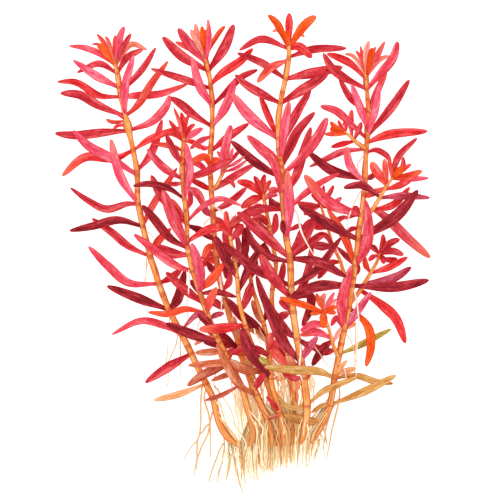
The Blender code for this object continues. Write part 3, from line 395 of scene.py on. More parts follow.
            (292, "wine", 8, -4, (244, 279), (253, 260), (266, 242)),
            (270, "wine", 8, -8, (245, 250), (244, 227)), (277, "wine", 10, 3, (225, 257), (215, 236)),
            (262, "plum", 6, -5, (239, 249), (236, 232)),
            (258, "crimson", 7, -6, (228, 247), (223, 232)),
            (250, "wine", 7, -3, (226, 262), (226, 279)), (240, "crimson", 8, 1, (238, 232), (243, 224)),
            (234, "scarlet", 6, 2, (227, 222), (226, 211)),
            (234, "coral", 5, -1, (232, 224), (236, 215)),
            (235, "scarlet", 5, 3, (222, 228), (216, 225)),
        ]),
    "inner": dict(
        thick=7.0,
        stem=[(284, 446, 8), (282, 425, 9), (277, 404, 10), (272, 385, 11), (270, 365, 12),
              (268, 345, 12), (264, 325, 12), (259, 308, 12), (253, 290, 12), (250, 275, 12)],
        leaves=[
            (412, "crimson", 5, 4, (275, 406), (266, 396)), (414, "ochre", 9, 3, (302, 420), (320, 422)),
            (416, "rust", 5, -3, (275, 416), (267, 419)),
            (379, "wine", 12, 11, (258, 362), (248, 347), (242, 327)),
            (358, "crimson", 7, 4, (260, 350), (250, 346)), (366, "olive", 7, 5, (264, 361), (259, 357)),
            (344, "coral", 10, 3, (277, 355), (289, 367)), (351, "coral", 7, 5, (270, 341), (271, 332)),
            (340, "wine", 10, 13, (256, 327), (240, 314), (226, 298)),
            (352, "crimson", 7, -3, (278, 352), (285, 357)),
            (325, "brick", 7, -3, (258, 315), (252, 300)), (322, "wine", 8, 2, (268, 312), (263, 301)),
            (282, "crimson", 9, 5, (249, 292), (242, 310)),
            (281, "scarlet", 7, 2, (247, 266), (246, 252)), (279, "wine", 6, -2, (255, 268), (256, 256)),
            (279, "scarlet", 5, 4, (250, 266), (251, 256)),
        ]),
    "back_centre": dict(
        thick=6.5,
        stem=[(292, 446, 5), (293, 420, 5), (293, 395, 5), (288, 370, 5), (282, 348, 5), (276, 326, 5),
              (272, 303, 5), (273, 285, 5), (276, 266, 6), (273, 246, 7), (269, 224, 8), (265, 204, 9),
              (263, 192, 9)],
        leaves=[
            (375, "peach", 6, 3, (281, 378), (274, 379)), (372, "ochre", 6, 2, (294, 372), (299, 368)),
            (350, "pink", 7, 3, (276, 345), (268, 338)), (320, "crimson", 7, 3, (282, 317), (289, 313)),
            (290, "crimson", 7, 3, (281, 278), (284, 262)), (262, "wine", 7, -3, (268, 254), (264, 244)),
            (236, "rose", 7, -4, (275, 227), (276, 213)),
            (232, "crimson", 7, -3, (258, 225), (248, 219)),
            (212, "wine", 7, -3, (272, 205), (270, 199)), (205, "coral", 5, 3, (257, 206), (252, 211)),
            (194, "scarlet", 9, 2, (253, 200), (241, 208)),
            (193, "scarlet", 8, 1, (250, 185), (237, 181)),
            (193, "scarlet", 6, 3, (258, 183), (254, 176)),
            (192, "scarlet", 6, -1, (263, 183), (265, 174)),
            (193, "coral", 5, 0, (267, 186), (271, 180)), (200, "rose", 6, 3, (270, 195), (278, 195)),
            (226, "crimson", 8, 3, (261, 218), (252, 218)),
        ]),
    "right_upper_side": dict(
        thick=5.0,
        stem=[(356, 142, 12), (350, 136, 12), (344, 132, 12)],
        leaves=[
            (141, "scarlet", 6, -3, (342, 144), (331, 147)),
            (138, "rose", 6, -4, (351, 122), (352, 109)),
            (140, "crimson", 6, -3, (359, 129), (361, 122)),
            (133, "amber", 7, 2, (336, 131), (330, 128)), (133, "coral", 5, 0, (333, 134), (324, 134)),
            (133, "amber", 5, 3, (335, 127), (330, 122)), (133, "coral", 4, -1, (341, 126), (338, 120)),
            (134, "amber", 5, 4, (338, 134), (334, 136)), (133, "rose", 4, -3, (346, 126), (343, 122)),
        ]),
    "right_front_side": dict(
        thick=5.5,
        stem=[(371, 211, 16), (377, 202, 16), (383, 192, 16), (388, 184, 16), (393, 177, 15)],
        leaves=[
            (209, "rose", 10, -8, (386, 217), (409, 239), (431, 258)),
            (210, "scarlet", 8, -3, (393, 205), (410, 187)),
            (198, "plum", 8, -2, (404, 196), (430, 198)), (197, "wine", 8, 4, (362, 186), (343, 188)),
            (190, "scarlet", 7, 1, (400, 185), (413, 178)),
            (187, "coral", 7, -3, (373, 193), (364, 197)), (186, "coral", 9, 1, (377, 173), (371, 162)),
            (185, "coral", 6, 4, (385, 172), (384, 159)), (179, "coral", 5, 3, (391, 170), (388, 159)),
            (178, "crimson", 7, 2, (398, 157), (417, 138)),
            (179, "orange", 7, 2, (408, 176), (422, 171)), (179, "pink", 6, -2, (412, 179), (429, 178)),
            (178, "scarlet", 6, 1, (402, 168), (403, 157)), (178, "amber", 8, 4, (399, 171), (402, 167)),
            (178, "coral", 5, 3, (404, 169), (411, 164)),
        ]),
    "right_lower_side": dict(
        thick=5.5,
        stem=[(360, 291, 9), (366, 281, 9), (372, 271, 9), (377, 262, 9), (380, 253, 9)],
        leaves=[
            (290, "scarlet", 10, -2, (382, 305), (397, 320), (406, 344)),
            (284, "plum", 9, -3, (394, 278), (412, 267)), (273, "scarlet", 7, 1, (390, 267), (408, 257)),
            (273, "orange", 6, -1, (366, 265), (365, 256)),
            (258, "crimson", 6, -3, (391, 260), (398, 259)),
            (254, "crimson", 7, 1, (392, 251), (404, 255)),
            (253, "crimson", 7, 2, (389, 244), (400, 239)),
            (253, "scarlet", 6, 0, (383, 243), (383, 234)),
            (254, "crimson", 6, 2, (374, 248), (369, 246)), (255, "rose", 5, -2, (373, 257), (369, 261)),
            (255, "crimson", 6, 3, (383, 259), (384, 264)),
        ]),
    "right_low_fork": dict(
        thick=4.5,
        stem=[(333, 345, 17), (331, 337, 18), (328, 327, 19), (325, 316, 20), (324, 309, 20)],
        leaves=[
            (338, "pink", 8, -3, (316, 332), (300, 335)), (343, "blush", 5, -3, (337, 335), (341, 327)),
            (326, "pink", 8, -1, (313, 324), (300, 331)),
            (350, "crimson", 9, -8, (324, 351), (303, 342)),
            (340, "wine", 9, -9, (323, 349), (312, 366)), (312, "amber", 7, 2, (302, 304), (279, 297)),
            (311, "amber", 8, 4, (323, 318), (323, 328)), (311, "amber", 6, 2, (316, 312), (310, 314)),
            (310, "blush", 6, 2, (322, 300), (325, 293)), (310, "pink", 5, 0, (329, 301), (334, 292)),
            (310, "blush", 5, -2, (331, 304), (337, 299)), (311, "amber", 5, 2, (331, 308), (337, 306)),
            (312, "orange", 5, -2, (331, 312), (336, 313)),
            (311, "orange", 6, 3, (319, 301), (316, 293)),
        ]),
    "right_inner_fork": dict(
        thick=4.5,
        stem=[(344, 272, 7), (340, 260, 7), (333, 245, 7), (328, 228, 7), (323, 212, 8), (320, 203, 8)],
        leaves=[
            (262, "crimson", 7, -3, (330, 264), (318, 279)),
            (250, "crimson", 8, 3, (325, 235), (314, 240), (303, 248), (292, 257)),
            (246, "plum", 9, -3, (322, 246), (312, 245)), (228, "rose", 6, -2, (338, 220), (347, 216)),
            (228, "crimson", 8, -2, (318, 226), (309, 225)),
            (205, "crimson", 6, 1, (308, 205), (297, 203)), (206, "rose", 6, -2, (310, 210), (304, 215)),
            (206, "rose", 5, 0, (323, 194), (324, 185)), (206, "scarlet", 5, 2, (328, 196), (334, 185)),
            (207, "rose", 6, 0, (332, 205), (342, 197)), (205, "scarlet", 5, 3, (316, 198), (311, 194)),
        ]),
    "back_left_side": dict(
        thick=4.5,
        stem=[(217, 185, 12), (221, 177, 12), (226, 168, 12), (229, 163, 12)],
        leaves=[
            (182, "crimson", 5, -2, (230, 181), (235, 188)), (175, "pink", 9, 5, (225, 150), (231, 125)),
            (172, "pink", 4, -1, (236, 168), (247, 160)), (168, "pink", 4, 3, (236, 163), (245, 156)),
            (166, "rose", 4, 1, (235, 156), (240, 150)), (165, "pink", 4, 3, (231, 155), (233, 148)),
            (166, "rose", 4, -2, (222, 158), (217, 151)), (165, "rose", 4, 4, (226, 155), (226, 149)),
        ]),
}

# A side shoot leaves its parent stem at this place down the plan.
FORKS = {
    "right_upper_side": ("right", 148),
    "right_front_side": ("right", 217),
    "right_lower_side": ("right", 303),
    "right_low_fork": ("right", 356),
    "right_inner_fork": ("right", 284),
    "back_left_side": ("back_left", 191),
}

# Narrow leaves that grow towards the surface and hold the stems off it:
# (where they leave the stem, how far their tip is from there up the plan).
UNDER_LEAVES = {
    "far_left": [(345, -34), (292, -40), (240, -40), (190, -38), (140, -36), (95, -34)],
    "left": [(360, -34), (300, -40), (236, -40), (190, -36)],
    "back_left": [(330, -34), (240, -36), (176, -36), (120, -36), (84, -34)],
    "centre": [(355, -44), (270, -46), (184, -46), (140, -44), (92, -40)],
    "right": [(345, -40), (256, -44), (196, -42), (152, -40), (100, -38)],
}


def place(across, down, height):
    """A point of the plan, in metres."""
    return Vector((
        (across - PLAN_MIDDLE[0]) * SQUARE,
        (PLAN_MIDDLE[1] - down) * SQUARE,
        height * MM,
    ))


def curve_through(points, count):
    """Evenly stepped points on a smooth curve through the given ones."""
    first = 2 * points[0] - points[1]
    last = 2 * points[-1] - points[-2]
    ends = [first] + list(points) + [last]
    result = []
    for i in range(count):
        along = (len(points) - 1) * i / (count - 1)
        k = min(int(along), len(points) - 2)
        t = along - k
        a, b, c, d = ends[k:k + 4]
        result.append(0.5 * (
            2 * b + (c - a) * t + (2 * a - 5 * b + 4 * c - d) * t * t
            + (3 * b - a - 3 * c + d) * t * t * t))
    return result


class Stem:
    """The middle line of one stem and its radius along it."""

    def __init__(self, points, thick):
        self.line = curve_through(points, STEM_POINTS)
        self.thick = thick * SQUARE

    def radius(self, index):
        return self.thick / 2 * (1 - STEM_TAPER * index / (len(self.line) - 1))

    def index_at(self, down):
        y = (PLAN_MIDDLE[1] - down) * SQUARE
        return min(range(len(self.line)), key=lambda i: abs(self.line[i].y - y))

    def direction(self, index):
        low = max(index - 2, 0)
        high = min(index + 2, len(self.line) - 1)
        return (self.line[high] - self.line[low]).normalized()


def grow_stems():
    """All stems. A side shoot starts just outside the skin of its parent."""
    stems = {}
    for name, shoot in SHOOTS.items():
        points = [place(*p) for p in shoot["stem"]]
        if name in FORKS:
            parent_name, down = FORKS[name]
            parent = stems[parent_name]
            at = parent.index_at(down)
            towards = (points[0] - parent.line[at]).normalized()
            cosine = abs(towards.dot(parent.direction(at)))
            sine = math.sqrt(1 - cosine * cosine)
            own_radius = shoot["thick"] * SQUARE / 2
            reach = (parent.radius(at) + GAP + own_radius * cosine) / sine
            points[0:0] = [parent.line[at] + towards * reach]
        stems[name] = Stem(points, shoot["thick"])
    return stems


def leaf_line(stem, leaf, lift, count):
    """The midrib of a leaf, from inside its stem to its tip."""
    down, _, _, *passes = leaf
    at = min(stem.index_at(down), len(stem.line) - 1 - TIP_ROOM)
    outwards = (place(*passes[0], 0) - stem.line[at]).xy.normalized()
    start = stem.line[at] + outwards.to_3d() * stem.radius(at) * LEAF_START
    flat = [Vector((start.x, start.y, 0.0))] + [place(a, d, 0) for a, d in passes]
    line = curve_through(flat, count)
    side_of_stem = max(-LEAF_SIDE, min(LEAF_SIDE, lift / FULL_LIFT)) * stem.radius(at)
    for i, point in enumerate(line):
        point.z = start.z + side_of_stem + lift * MM * math.sin(math.pi / 2 * i / (count - 1))
    return line


def leaf_width(s, bluntness=TIP_BLUNTNESS):
    """The share of its planned width at s, from 0 at the stem to 1 at the tip."""
    rise = min(s / LEAF_SWELL, 1.0)
    spread = LEAF_FOOT + (LEAF_FULLNESS - LEAF_FOOT) * rise * rise * (3 - 2 * rise)
    return spread * math.sqrt(1 - s ** bluntness)


def leaf_stations(length):
    """Where a leaf has a section: more of them on a longer leaf."""
    if length < SMALL_LEAF:
        return (0.0, 0.5)
    if length < LONG_LEAF:
        return (0.0, 0.38, 0.78)
    return (0.0, 0.28, 0.60, 0.87)


def leaf_rings(line, width, swell):
    """Three-cornered sections of a leaf and its tip, held above the surface."""
    length = sum((b - a).length for a, b in zip(line, line[1:]))
    rings = []
    for s in leaf_stations(length):
        i = round(s * (len(line) - 1))
        along = line[min(i + 1, len(line) - 1)] - line[max(i - 1, 0)]
        side = along.cross(Vector((0, 0, 1))).normalized()
        half = width * SQUARE / 2 * leaf_width(s) + swell
        thick = LEAF_THICKNESS / 2 + swell
        ring = [line[i] - side * half, line[i] + side * half, line[i].copy()]
        for corner, rise in zip(ring, (-thick, -thick, thick)):
            corner.z = max(corner.z + rise, rise + thick)
        rings.append(ring)
    tip = line[-1].copy()
    tip.z = max(tip.z, LEAF_THICKNESS / 2)
    return rings, tip


def leaf_faces(rings):
    """Corner numbers of a leaf's faces: its end at the stem, its sides and its tip."""
    faces = [(0, 1, 2)]
    for k in range(len(rings) - 1):
        for a in range(3):
            b = (a + 1) % 3
            faces.append((3 * k + b, 3 * k + a, 3 * k + 3 + a, 3 * k + 3 + b))
    last = 3 * (len(rings) - 1)
    tip = 3 * len(rings)
    for a in range(3):
        b = (a + 1) % 3
        faces.append((last + b, last + a, tip))
    return faces


def tree_of(rings, tip):
    """A search tree of a leaf's faces."""
    corners = [corner for ring in rings for corner in ring] + [tip]
    return BVHTree.FromPolygons(corners, leaf_faces(rings))


def box_of(points):
    """The lowest and highest corners of what holds the points."""
    low = Vector([min(p[i] for p in points) for i in range(3)])
    high = Vector([max(p[i] for p in points) for i in range(3)])
    return low, high


def apart(one, other):
    """Whether two boxes have room between them."""
    return any(one[0][i] > other[1][i] or other[0][i] > one[1][i] for i in range(3))


def stem_tree(stem):
    """A search tree of a stem with the room that leaves keep to it."""
    rings = []
    for i in range(0, len(stem.line), TREE_STEP):
        along = stem.direction(i)
        side = along.cross(Vector((0, 0, 1))).normalized()
        up = side.cross(along)
        radius = stem.radius(i) + CLEAR_OF_OTHERS / 2
        for k in range(TREE_SIDES):
            angle = 2 * math.pi / TREE_SIDES * k
            rings.append(stem.line[i] + (side * math.cos(angle) + up * math.sin(angle)) * radius)
    faces = []
    for first in range(0, len(rings) - TREE_SIDES, TREE_SIDES):
        after = first + TREE_SIDES
        for k in range(TREE_SIDES):
            n = (k + 1) % TREE_SIDES
            faces.append((first + k, first + n, after + n, after + k))
    return BVHTree.FromPolygons(rings, faces), box_of(rings)


def leaves_of(name, stems):
    """The plan's leaves of one shoot with their tones, then those that hold it off the surface."""
    leaves = [(tone, (down, *rest)) for down, tone, *rest in SHOOTS[name]["leaves"]]
    stem = stems[name]
    for down, reach in UNDER_LEAVES.get(name, []):
        passes = []
        for share in (0.5, 1.0):
            spot = stem.line[stem.index_at(down + reach * share)]
            passes.append((spot.x / SQUARE + PLAN_MIDDLE[0], down + reach * share))
        start = stem.line[stem.index_at(down)]
        leaves.append((UNDER_TONE, (down, UNDER_LEAF_WIDTH, -start.z / MM, *passes)))
    return leaves


def lifts_to_try(leaf, plan_length):
    """The leaf's own lift first, then others further and further from it."""
    steepest = STEEPEST * plan_length / MM
    for attempt in range(2 * LIFT_TRIES + 1):
        step = (attempt + 1) // 2 * (1 if attempt % 2 else -1)
        lift = leaf[2] + step * LIFT_STEP
        if abs(lift) <= max(steepest, abs(leaf[2])):
            yield lift


def is_free(name, box, whole, outer, taken, among_own):
    """Whether a leaf touches no other shoot and, if asked, no leaf of its own."""
    for owner, other_whole, other_outer, other_box in taken:
        if apart(box, other_box):
            continue
        if owner != name:
            if whole.overlap(other_whole):
                return False
        elif among_own and other_outer and outer.overlap(other_outer):
            return False
    return True


def grow_leaves(stems):
    """Every leaf of every shoot, each lifted or lowered until it touches nothing of another."""
    taken = []
    for name, stem in stems.items():
        tree, box = stem_tree(stem)
        taken.append((name, tree, None, box))
    grown = {name: [] for name in stems}
    for name, stem in stems.items():
        for tone, leaf in leaves_of(name, stems):
            level = leaf_line(stem, leaf, 0.0, LEAF_POINTS)
            plan_length = sum((b - a).length for a, b in zip(level, level[1:]))
            tries = [(lift, plan_length > SMALL_LEAF) for lift in lifts_to_try(leaf, plan_length)]
            tries += [(lift, False) for lift in lifts_to_try(leaf, plan_length)]
            for lift, among_own in tries:
                line = leaf_line(stem, leaf, lift, LEAF_POINTS)
                rings, tip = leaf_rings(line, leaf[1], CLEAR_OF_OTHERS / 2)
                whole = tree_of(rings, tip)
                outer = tree_of(rings[1:], tip)
                box = box_of([c for ring in rings for c in ring] + [tip])
                if is_free(name, box, whole, outer, taken, among_own):
                    taken.append((name, whole, outer, box))
                    grown[name].append((line, leaf[1], tone))
                    break
            else:
                print("no room", name, leaf)
    return grown


def linear(colour):
    """An sRGB hex colour as linear red, green and blue."""
    shares = [int(colour[i:i + 2], 16) / 255 for i in (1, 3, 5)]
    return [s / 12.92 if s <= 0.04045 else ((s + 0.055) / 1.055) ** 2.4 for s in shares]


def node(material, kind, inputs, output=0, **settings):
    """Adds a node to a material, with its settings and what comes into its sockets.
    Gives one of its outputs."""
    tree = material.node_tree
    added = tree.nodes.new("ShaderNode" + kind)
    for name, value in settings.items():
        setattr(added, name, value)
    for socket, source in inputs.items():
        if isinstance(source, bpy.types.NodeSocket):
            tree.links.new(source, added.inputs[socket])
        else:
            added.inputs[socket].default_value = source
    return added.outputs[output]


def fresh_material(name, roughness, specular):
    """A material with its surface shader."""
    material = bpy.data.materials.new(name)
    material.use_nodes = True
    shader = material.node_tree.nodes["Principled BSDF"]
    shader.inputs["Roughness"].default_value = roughness
    shader.inputs["Specular IOR Level"].default_value = specular
    return material, shader


def streaks(material, aside, reach, variety, line_gap, line_length, detail):
    """Noise drawn out into lines: their gap and length in millimetres, others on each leaf."""
    spot = node(material, "CombineXYZ", {0: aside, 1: reach, 2: variety})
    drawn = node(material, "Mapping", {"Vector": spot, "Scale": (1 / line_gap, 1 / line_length, OTHER_LEAF)})
    return node(material, "TexNoise", {"Vector": drawn, "Scale": 1.0, "Detail": detail, "Roughness": 0.6})


def washed(material, colour, washes):
    """Colours laid over one another, each as far as its pattern goes from one value to another.
    What is laid over is a hex colour or what comes from another node."""
    for pattern, start, end, strength, blend, over in washes:
        share = node(
            material, "MapRange", {0: pattern, 1: start, 2: end, 3: 0.0, 4: strength},
            interpolation_type="SMOOTHSTEP")
        over = (*linear(over), 1.0) if isinstance(over, str) else over
        colour = node(
            material, "Mix", {0: share, 6: colour, 7: over}, 2, data_type="RGBA", blend_type=blend)
    return colour


def leaf_tissue():
    """Thin wet leaf tissue, red with anthocyanin. Its colour gathers in long soft patches between
    lengthwise veins. One half of each leaf is painted paler, as painted light, and the other deeper, as
    painted shade;
    the crease along the midrib and the foot at the stem are darkened as painted shade. It has a glowing tip
    and a red rim."""
    material, shader = fresh_material("red_leaf_tissue", 0.45, 0.12)
    tone, light, deep = [
        node(material, "Attribute", {}, "Color", attribute_name=name) for name in ("tone", "light", "deep")]
    along, across, reach, aside, variety, glow = [
        node(material, "Attribute", {}, "Fac", attribute_name=name)
        for name in ("along", "across", "reach", "aside", "variety", "glow")]
    wash = streaks(material, aside, reach, variety, LEAF_WASH_GAP, LEAF_WASH_LENGTH, 2.0)
    veins = streaks(material, aside, reach, variety, LEAF_VEIN_GAP, LEAF_VEIN_LENGTH, 2.0)
    fleck = streaks(material, aside, reach, variety, LEAF_FLECK_GAP, LEAF_FLECK_LENGTH, 1.0)
    # Patches of random tone from the wash, veins and flecks, plus a share from across that paints one half
    # of the leaf paler, as painted light, and the other deeper, as painted shade.
    patches_and_painted_half_shade = node(material, "Math", {0: across, 1: 0.16, 2: -1.90}, operation="MULTIPLY_ADD")
    for pattern, weight in ((wash, 2.0), (veins, 1.1), (fleck, 0.7)):
        patches_and_painted_half_shade = node(material, "Math", {0: pattern, 1: weight, 2: patches_and_painted_half_shade}, operation="MULTIPLY_ADD")
    off_middle = node(material, "Math", {0: across}, operation="ABSOLUTE")
    ragged = node(material, "Math", {0: fleck, 1: 0.35, 2: off_middle}, operation="MULTIPLY_ADD")
    # Near the midrib the leaf is darkened: painted shade in the crease along it.
    midrib_crease_shade = node(material, "Math", {0: fleck, 1: 0.22, 2: off_middle}, operation="MULTIPLY_ADD")
    tip = node(material, "Math", {0: along, 1: glow}, operation="MULTIPLY")
    colour = washed(material, tone, [
        (patches_and_painted_half_shade, 0.02, 0.42, 1.0, "MIX", light),
        (patches_and_painted_half_shade, -0.02, -0.36, 1.0, "MIX", deep),
        (tip, 0.50, 0.95, 0.60, "MIX", "#F8805C"),
        # The foot of each leaf, at the stem, is darkened as painted shade.
        (along, 0.16, 0.0, 0.40, "MULTIPLY", "#C86058"),
        (midrib_crease_shade, 0.22, 0.12, 0.45, "MULTIPLY", "#B84A48"),
        (ragged, 0.98, 1.10, 0.60, "MIX", "#E03A38"),
    ])
    links = material.node_tree.links
    links.new(colour, shader.inputs["Base Color"])
    rough = node(material, "MapRange", {0: veins, 3: 0.38, 4: 0.56})
    links.new(rough, shader.inputs["Roughness"])
    bump = node(material, "Bump", {"Strength": 0.35, "Distance": 0.0001, "Height": veins})
    links.new(bump, shader.inputs["Normal"])
    return material


def stem_flesh():
    """Smooth moist stem flesh, orange over cream, with lengthwise fibres: pale streaks, partly paler fibres
    and partly painted highlights, and rust lines. Both flanks are darkened as painted shade on the round
    stem's sides, and each joint has a redder ring."""
    material, shader = fresh_material("orange_stem_flesh", 0.42, 0.15)
    across, reach, aside, variety, joint, age = [
        node(material, "Attribute", {}, "Fac", attribute_name=name)
        for name in ("across", "reach", "aside", "variety", "joint", "glow")]
    fibres = streaks(material, aside, reach, variety, STEM_FIBRE_GAP, STEM_FIBRE_LENGTH, 3.0)
    patch = streaks(material, aside, reach, variety, STEM_PATCH_GAP, STEM_PATCH_LENGTH, 2.0)
    # Both flanks of the stem, as seen from above, are painted rust-dark and broken by the fibres: painted
    # shade on the round stem's sides.
    painted_flank_shade = node(material, "Math", {0: fibres, 1: 0.5, 2: across}, operation="MULTIPLY_ADD")
    colour = washed(material, (*linear("#FCA450"), 1.0), [
        (patch, 0.45, 0.66, 0.75, "MIX", "#F48C34"),
        # Pale fibre streaks: partly paler fibres, partly painted highlights.
        (fibres, 0.50, 0.62, 0.85, "MIX", "#FFC680"),
        (fibres, 0.46, 0.36, 0.80, "MIX", "#DE702C"),
        (age, 0.66, 0.95, 0.55, "MIX", "#DE9450"),
        (patch, 0.44, 0.30, 0.55, "MIX", "#FAC47C"),
        (fibres, 0.40, 0.28, 0.65, "MIX", "#B46230"),
        (painted_flank_shade, 0.86, 1.04, 0.85, "MIX", "#C24E2C"),
        (joint, 0.60, 1.0, 0.65, "MIX", "#C24428"),
    ])
    links = material.node_tree.links
    links.new(colour, shader.inputs["Base Color"])
    bump = node(material, "Bump", {"Strength": 0.3, "Distance": 0.0001, "Height": fibres})
    links.new(bump, shader.inputs["Normal"])
    return material


def root_thread():
    """Soft dull root threads without bark: cream, sand and rust ones side by side, which gives the eye
    a streaky tuft. They glow a little in their own colour, painted light that stands for light passing
    through thin roots, so they are hardly dark where they crowd."""
    material, shader = fresh_material("pale_root_thread", 0.65, 0.15)
    tone = node(material, "Attribute", {}, "Color", attribute_name="tone")
    aside, reach, variety = [
        node(material, "Attribute", {}, "Fac", attribute_name=name)
        for name in ("aside", "reach", "variety")]
    mottle = streaks(material, aside, reach, variety, ROOT_MOTTLE_GAP, ROOT_MOTTLE_LENGTH, 2.0)
    colour = washed(material, tone, [
        (mottle, 0.50, 0.68, 0.60, "SCREEN", "#8A7050"),
        (mottle, 0.46, 0.30, 0.50, "MULTIPLY", "#DCAE80"),
    ])
    material.node_tree.links.new(colour, shader.inputs["Base Color"])
    # The glow is painted light, which lifts the shade where the threads crowd.
    material.node_tree.links.new(colour, shader.inputs["Emission Color"])
    shader.inputs["Emission Strength"].default_value = ROOT_GLOW
    return material


class Sheets:
    """Corners, faces and per-corner values of one piece that is being grown."""

    NUMBERS = ("along", "across", "reach", "aside", "variety", "glow", "joint")
    COLOURS = ("deep", "tone", "light")

    def __init__(self):
        self.corners = []
        self.faces = []
        self.values = {name: [] for name in self.NUMBERS}
        self.colours = {name: [] for name in self.COLOURS}

    def add(self, corners, faces, colours, **values):
        """One leaf, stem or strand with its deep, middle and light colours.
        A value is a list with one number for each corner, or one for all."""
        first = len(self.corners)
        self.corners += [tuple(corner) for corner in corners]
        self.faces += [[first + c for c in face] for face in faces]
        for name in self.NUMBERS:
            value = values.get(name, 0.0)
            self.values[name] += value if isinstance(value, list) else [value] * len(corners)
        for name, colour in zip(self.COLOURS, colours):
            self.colours[name] += [(*colour, 1.0)] * len(corners)

    def piece(self, name, material, nodes=()):
        """The finished piece. It rides on the bunch and stands for the solids of the nodes, if any."""
        mesh = bpy.data.meshes.new(name)
        mesh.from_pydata(self.corners, [], self.faces)
        for key in self.NUMBERS:
            layer = mesh.attributes.new(key, "FLOAT", "POINT")
            layer.data.foreach_set("value", np.array(self.values[key], dtype=np.float32))
        for key in self.COLOURS:
            layer = mesh.attributes.new(key, "FLOAT_COLOR", "POINT")
            layer.data.foreach_set("color", np.array(self.colours[key], dtype=np.float32).ravel())
        mesh.polygons.foreach_set("use_smooth", [True] * len(mesh.polygons))
        mesh.materials.append(material)
        thing = bpy.data.objects.new(name, mesh)
        bpy.context.scene.collection.objects.link(thing)
        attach(thing, "root")
        if nodes:
            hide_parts(*nodes)


def ring_faces(count, sides):
    """Quads between rings, and a face across the first ring."""
    faces = [list(range(sides - 1, -1, -1))]
    for k in range(count - 1):
        for a in range(sides):
            b = (a + 1) % sides
            faces.append([k * sides + a, k * sides + b, (k + 1) * sides + b, (k + 1) * sides + a])
    return faces


def frame_at(line, k, before=1, after=1):
    """The directions to the side of a line and upwards from it, at one of its points."""
    heading = (line[min(k + after, len(line) - 1)] - line[max(k - before, 0)]).normalized()
    side = heading.cross(Vector((0, 0, 1))).normalized()
    return side, side.cross(heading)


def reaches(line):
    """How far each point of a line is from its start, in millimetres."""
    result = [0.0]
    for a, b in zip(line, line[1:]):
        result.append(result[-1] + (b - a).length / MM)
    return result


def add_leaf(sheets, line, width, tone, chance):
    """A thin blade with a midrib: channelled, gently waved at its rim and a little rolled."""
    cup = chance.uniform(-0.10, 0.30)
    roll_start = chance.uniform(-0.30, 0.30)
    roll_end = chance.uniform(-0.40, 0.40)
    wave = chance.uniform(0.02, 0.09)
    phase = chance.uniform(0.0, 2 * math.pi)
    bluntness = TIP_BLUNTNESS * chance.uniform(0.55, 1.1)
    # Which half of the blade is painted lit, and which is painted in shade.
    painted_lit_side = chance.choice((-1, 1))
    sides = 2 * LEAF_ACROSS
    last = len(line) - 1
    far = reaches(line)
    corners, along, across, reach, aside = [], [], [], [], []
    for k in range(LEAF_LENGTHS):
        s = 1 - (1 - k / LEAF_LENGTHS) ** LEAF_CROWDING
        spot = s * last
        i = min(int(spot), last - 1)
        middle = line[i].lerp(line[i + 1], spot - i)
        side, up = frame_at(line, i, 1, 2)
        roll = roll_start + (roll_end - roll_start) * s
        side, up = side * math.cos(roll) + up * math.sin(roll), up * math.cos(roll) - side * math.sin(roll)
        half = width * SQUARE / 2 * leaf_width(s, bluntness)
        for n in range(sides):
            u = -1 + 2 * n / LEAF_ACROSS if n <= LEAF_ACROSS else 1 - 2 * (n - LEAF_ACROSS) / LEAF_ACROSS
            top = 1 if n <= LEAF_ACROSS else -1
            thick = BLADE_AT_EDGE + (BLADE_AT_MIDRIB - BLADE_AT_EDGE) * (1 - abs(u)) ** BLADE_FALL
            if abs(u) == 1:
                thick = 0.0
            ripple = math.sin(RIM_WAVES * math.pi * s + phase + RIM_LAG * u)
            rise = half * (cup * (u * u - CHANNEL_LEVEL) + wave * u * u * ripple)
            if u == 0:
                rise -= top * MIDRIB_GROOVE
            point = middle + side * (half * u) + up * (rise + top * thick / 2)
            point.z = max(point.z, LOWEST * (2 + top))
            corners.append(point)
            along.append(s)
            across.append(u * painted_lit_side)
            reach.append(far[i] + (far[i + 1] - far[i]) * (spot - i))
            aside.append(half * u / MM)
    faces = ring_faces(LEAF_LENGTHS, sides)
    tip = line[-1].copy()
    tip.z = max(tip.z, 2 * LOWEST)
    corners.append(tip)
    along.append(1.0)
    across.append(0.0)
    reach.append(far[-1])
    aside.append(0.0)
    end = (LEAF_LENGTHS - 1) * sides
    faces += [[end + n, end + (n + 1) % sides, len(corners) - 1] for n in range(sides)]
    shade = chance.uniform(0.92, 1.08)
    tinted = [[min(1.0, c * shade) for c in linear(colour)] for colour in TONES[tone]]
    sheets.add(
        corners, faces, tinted, along=along, across=across, reach=reach, aside=aside,
        variety=chance.random(), glow=chance.random() * TIP_GLOW.get(tone, 1.0))


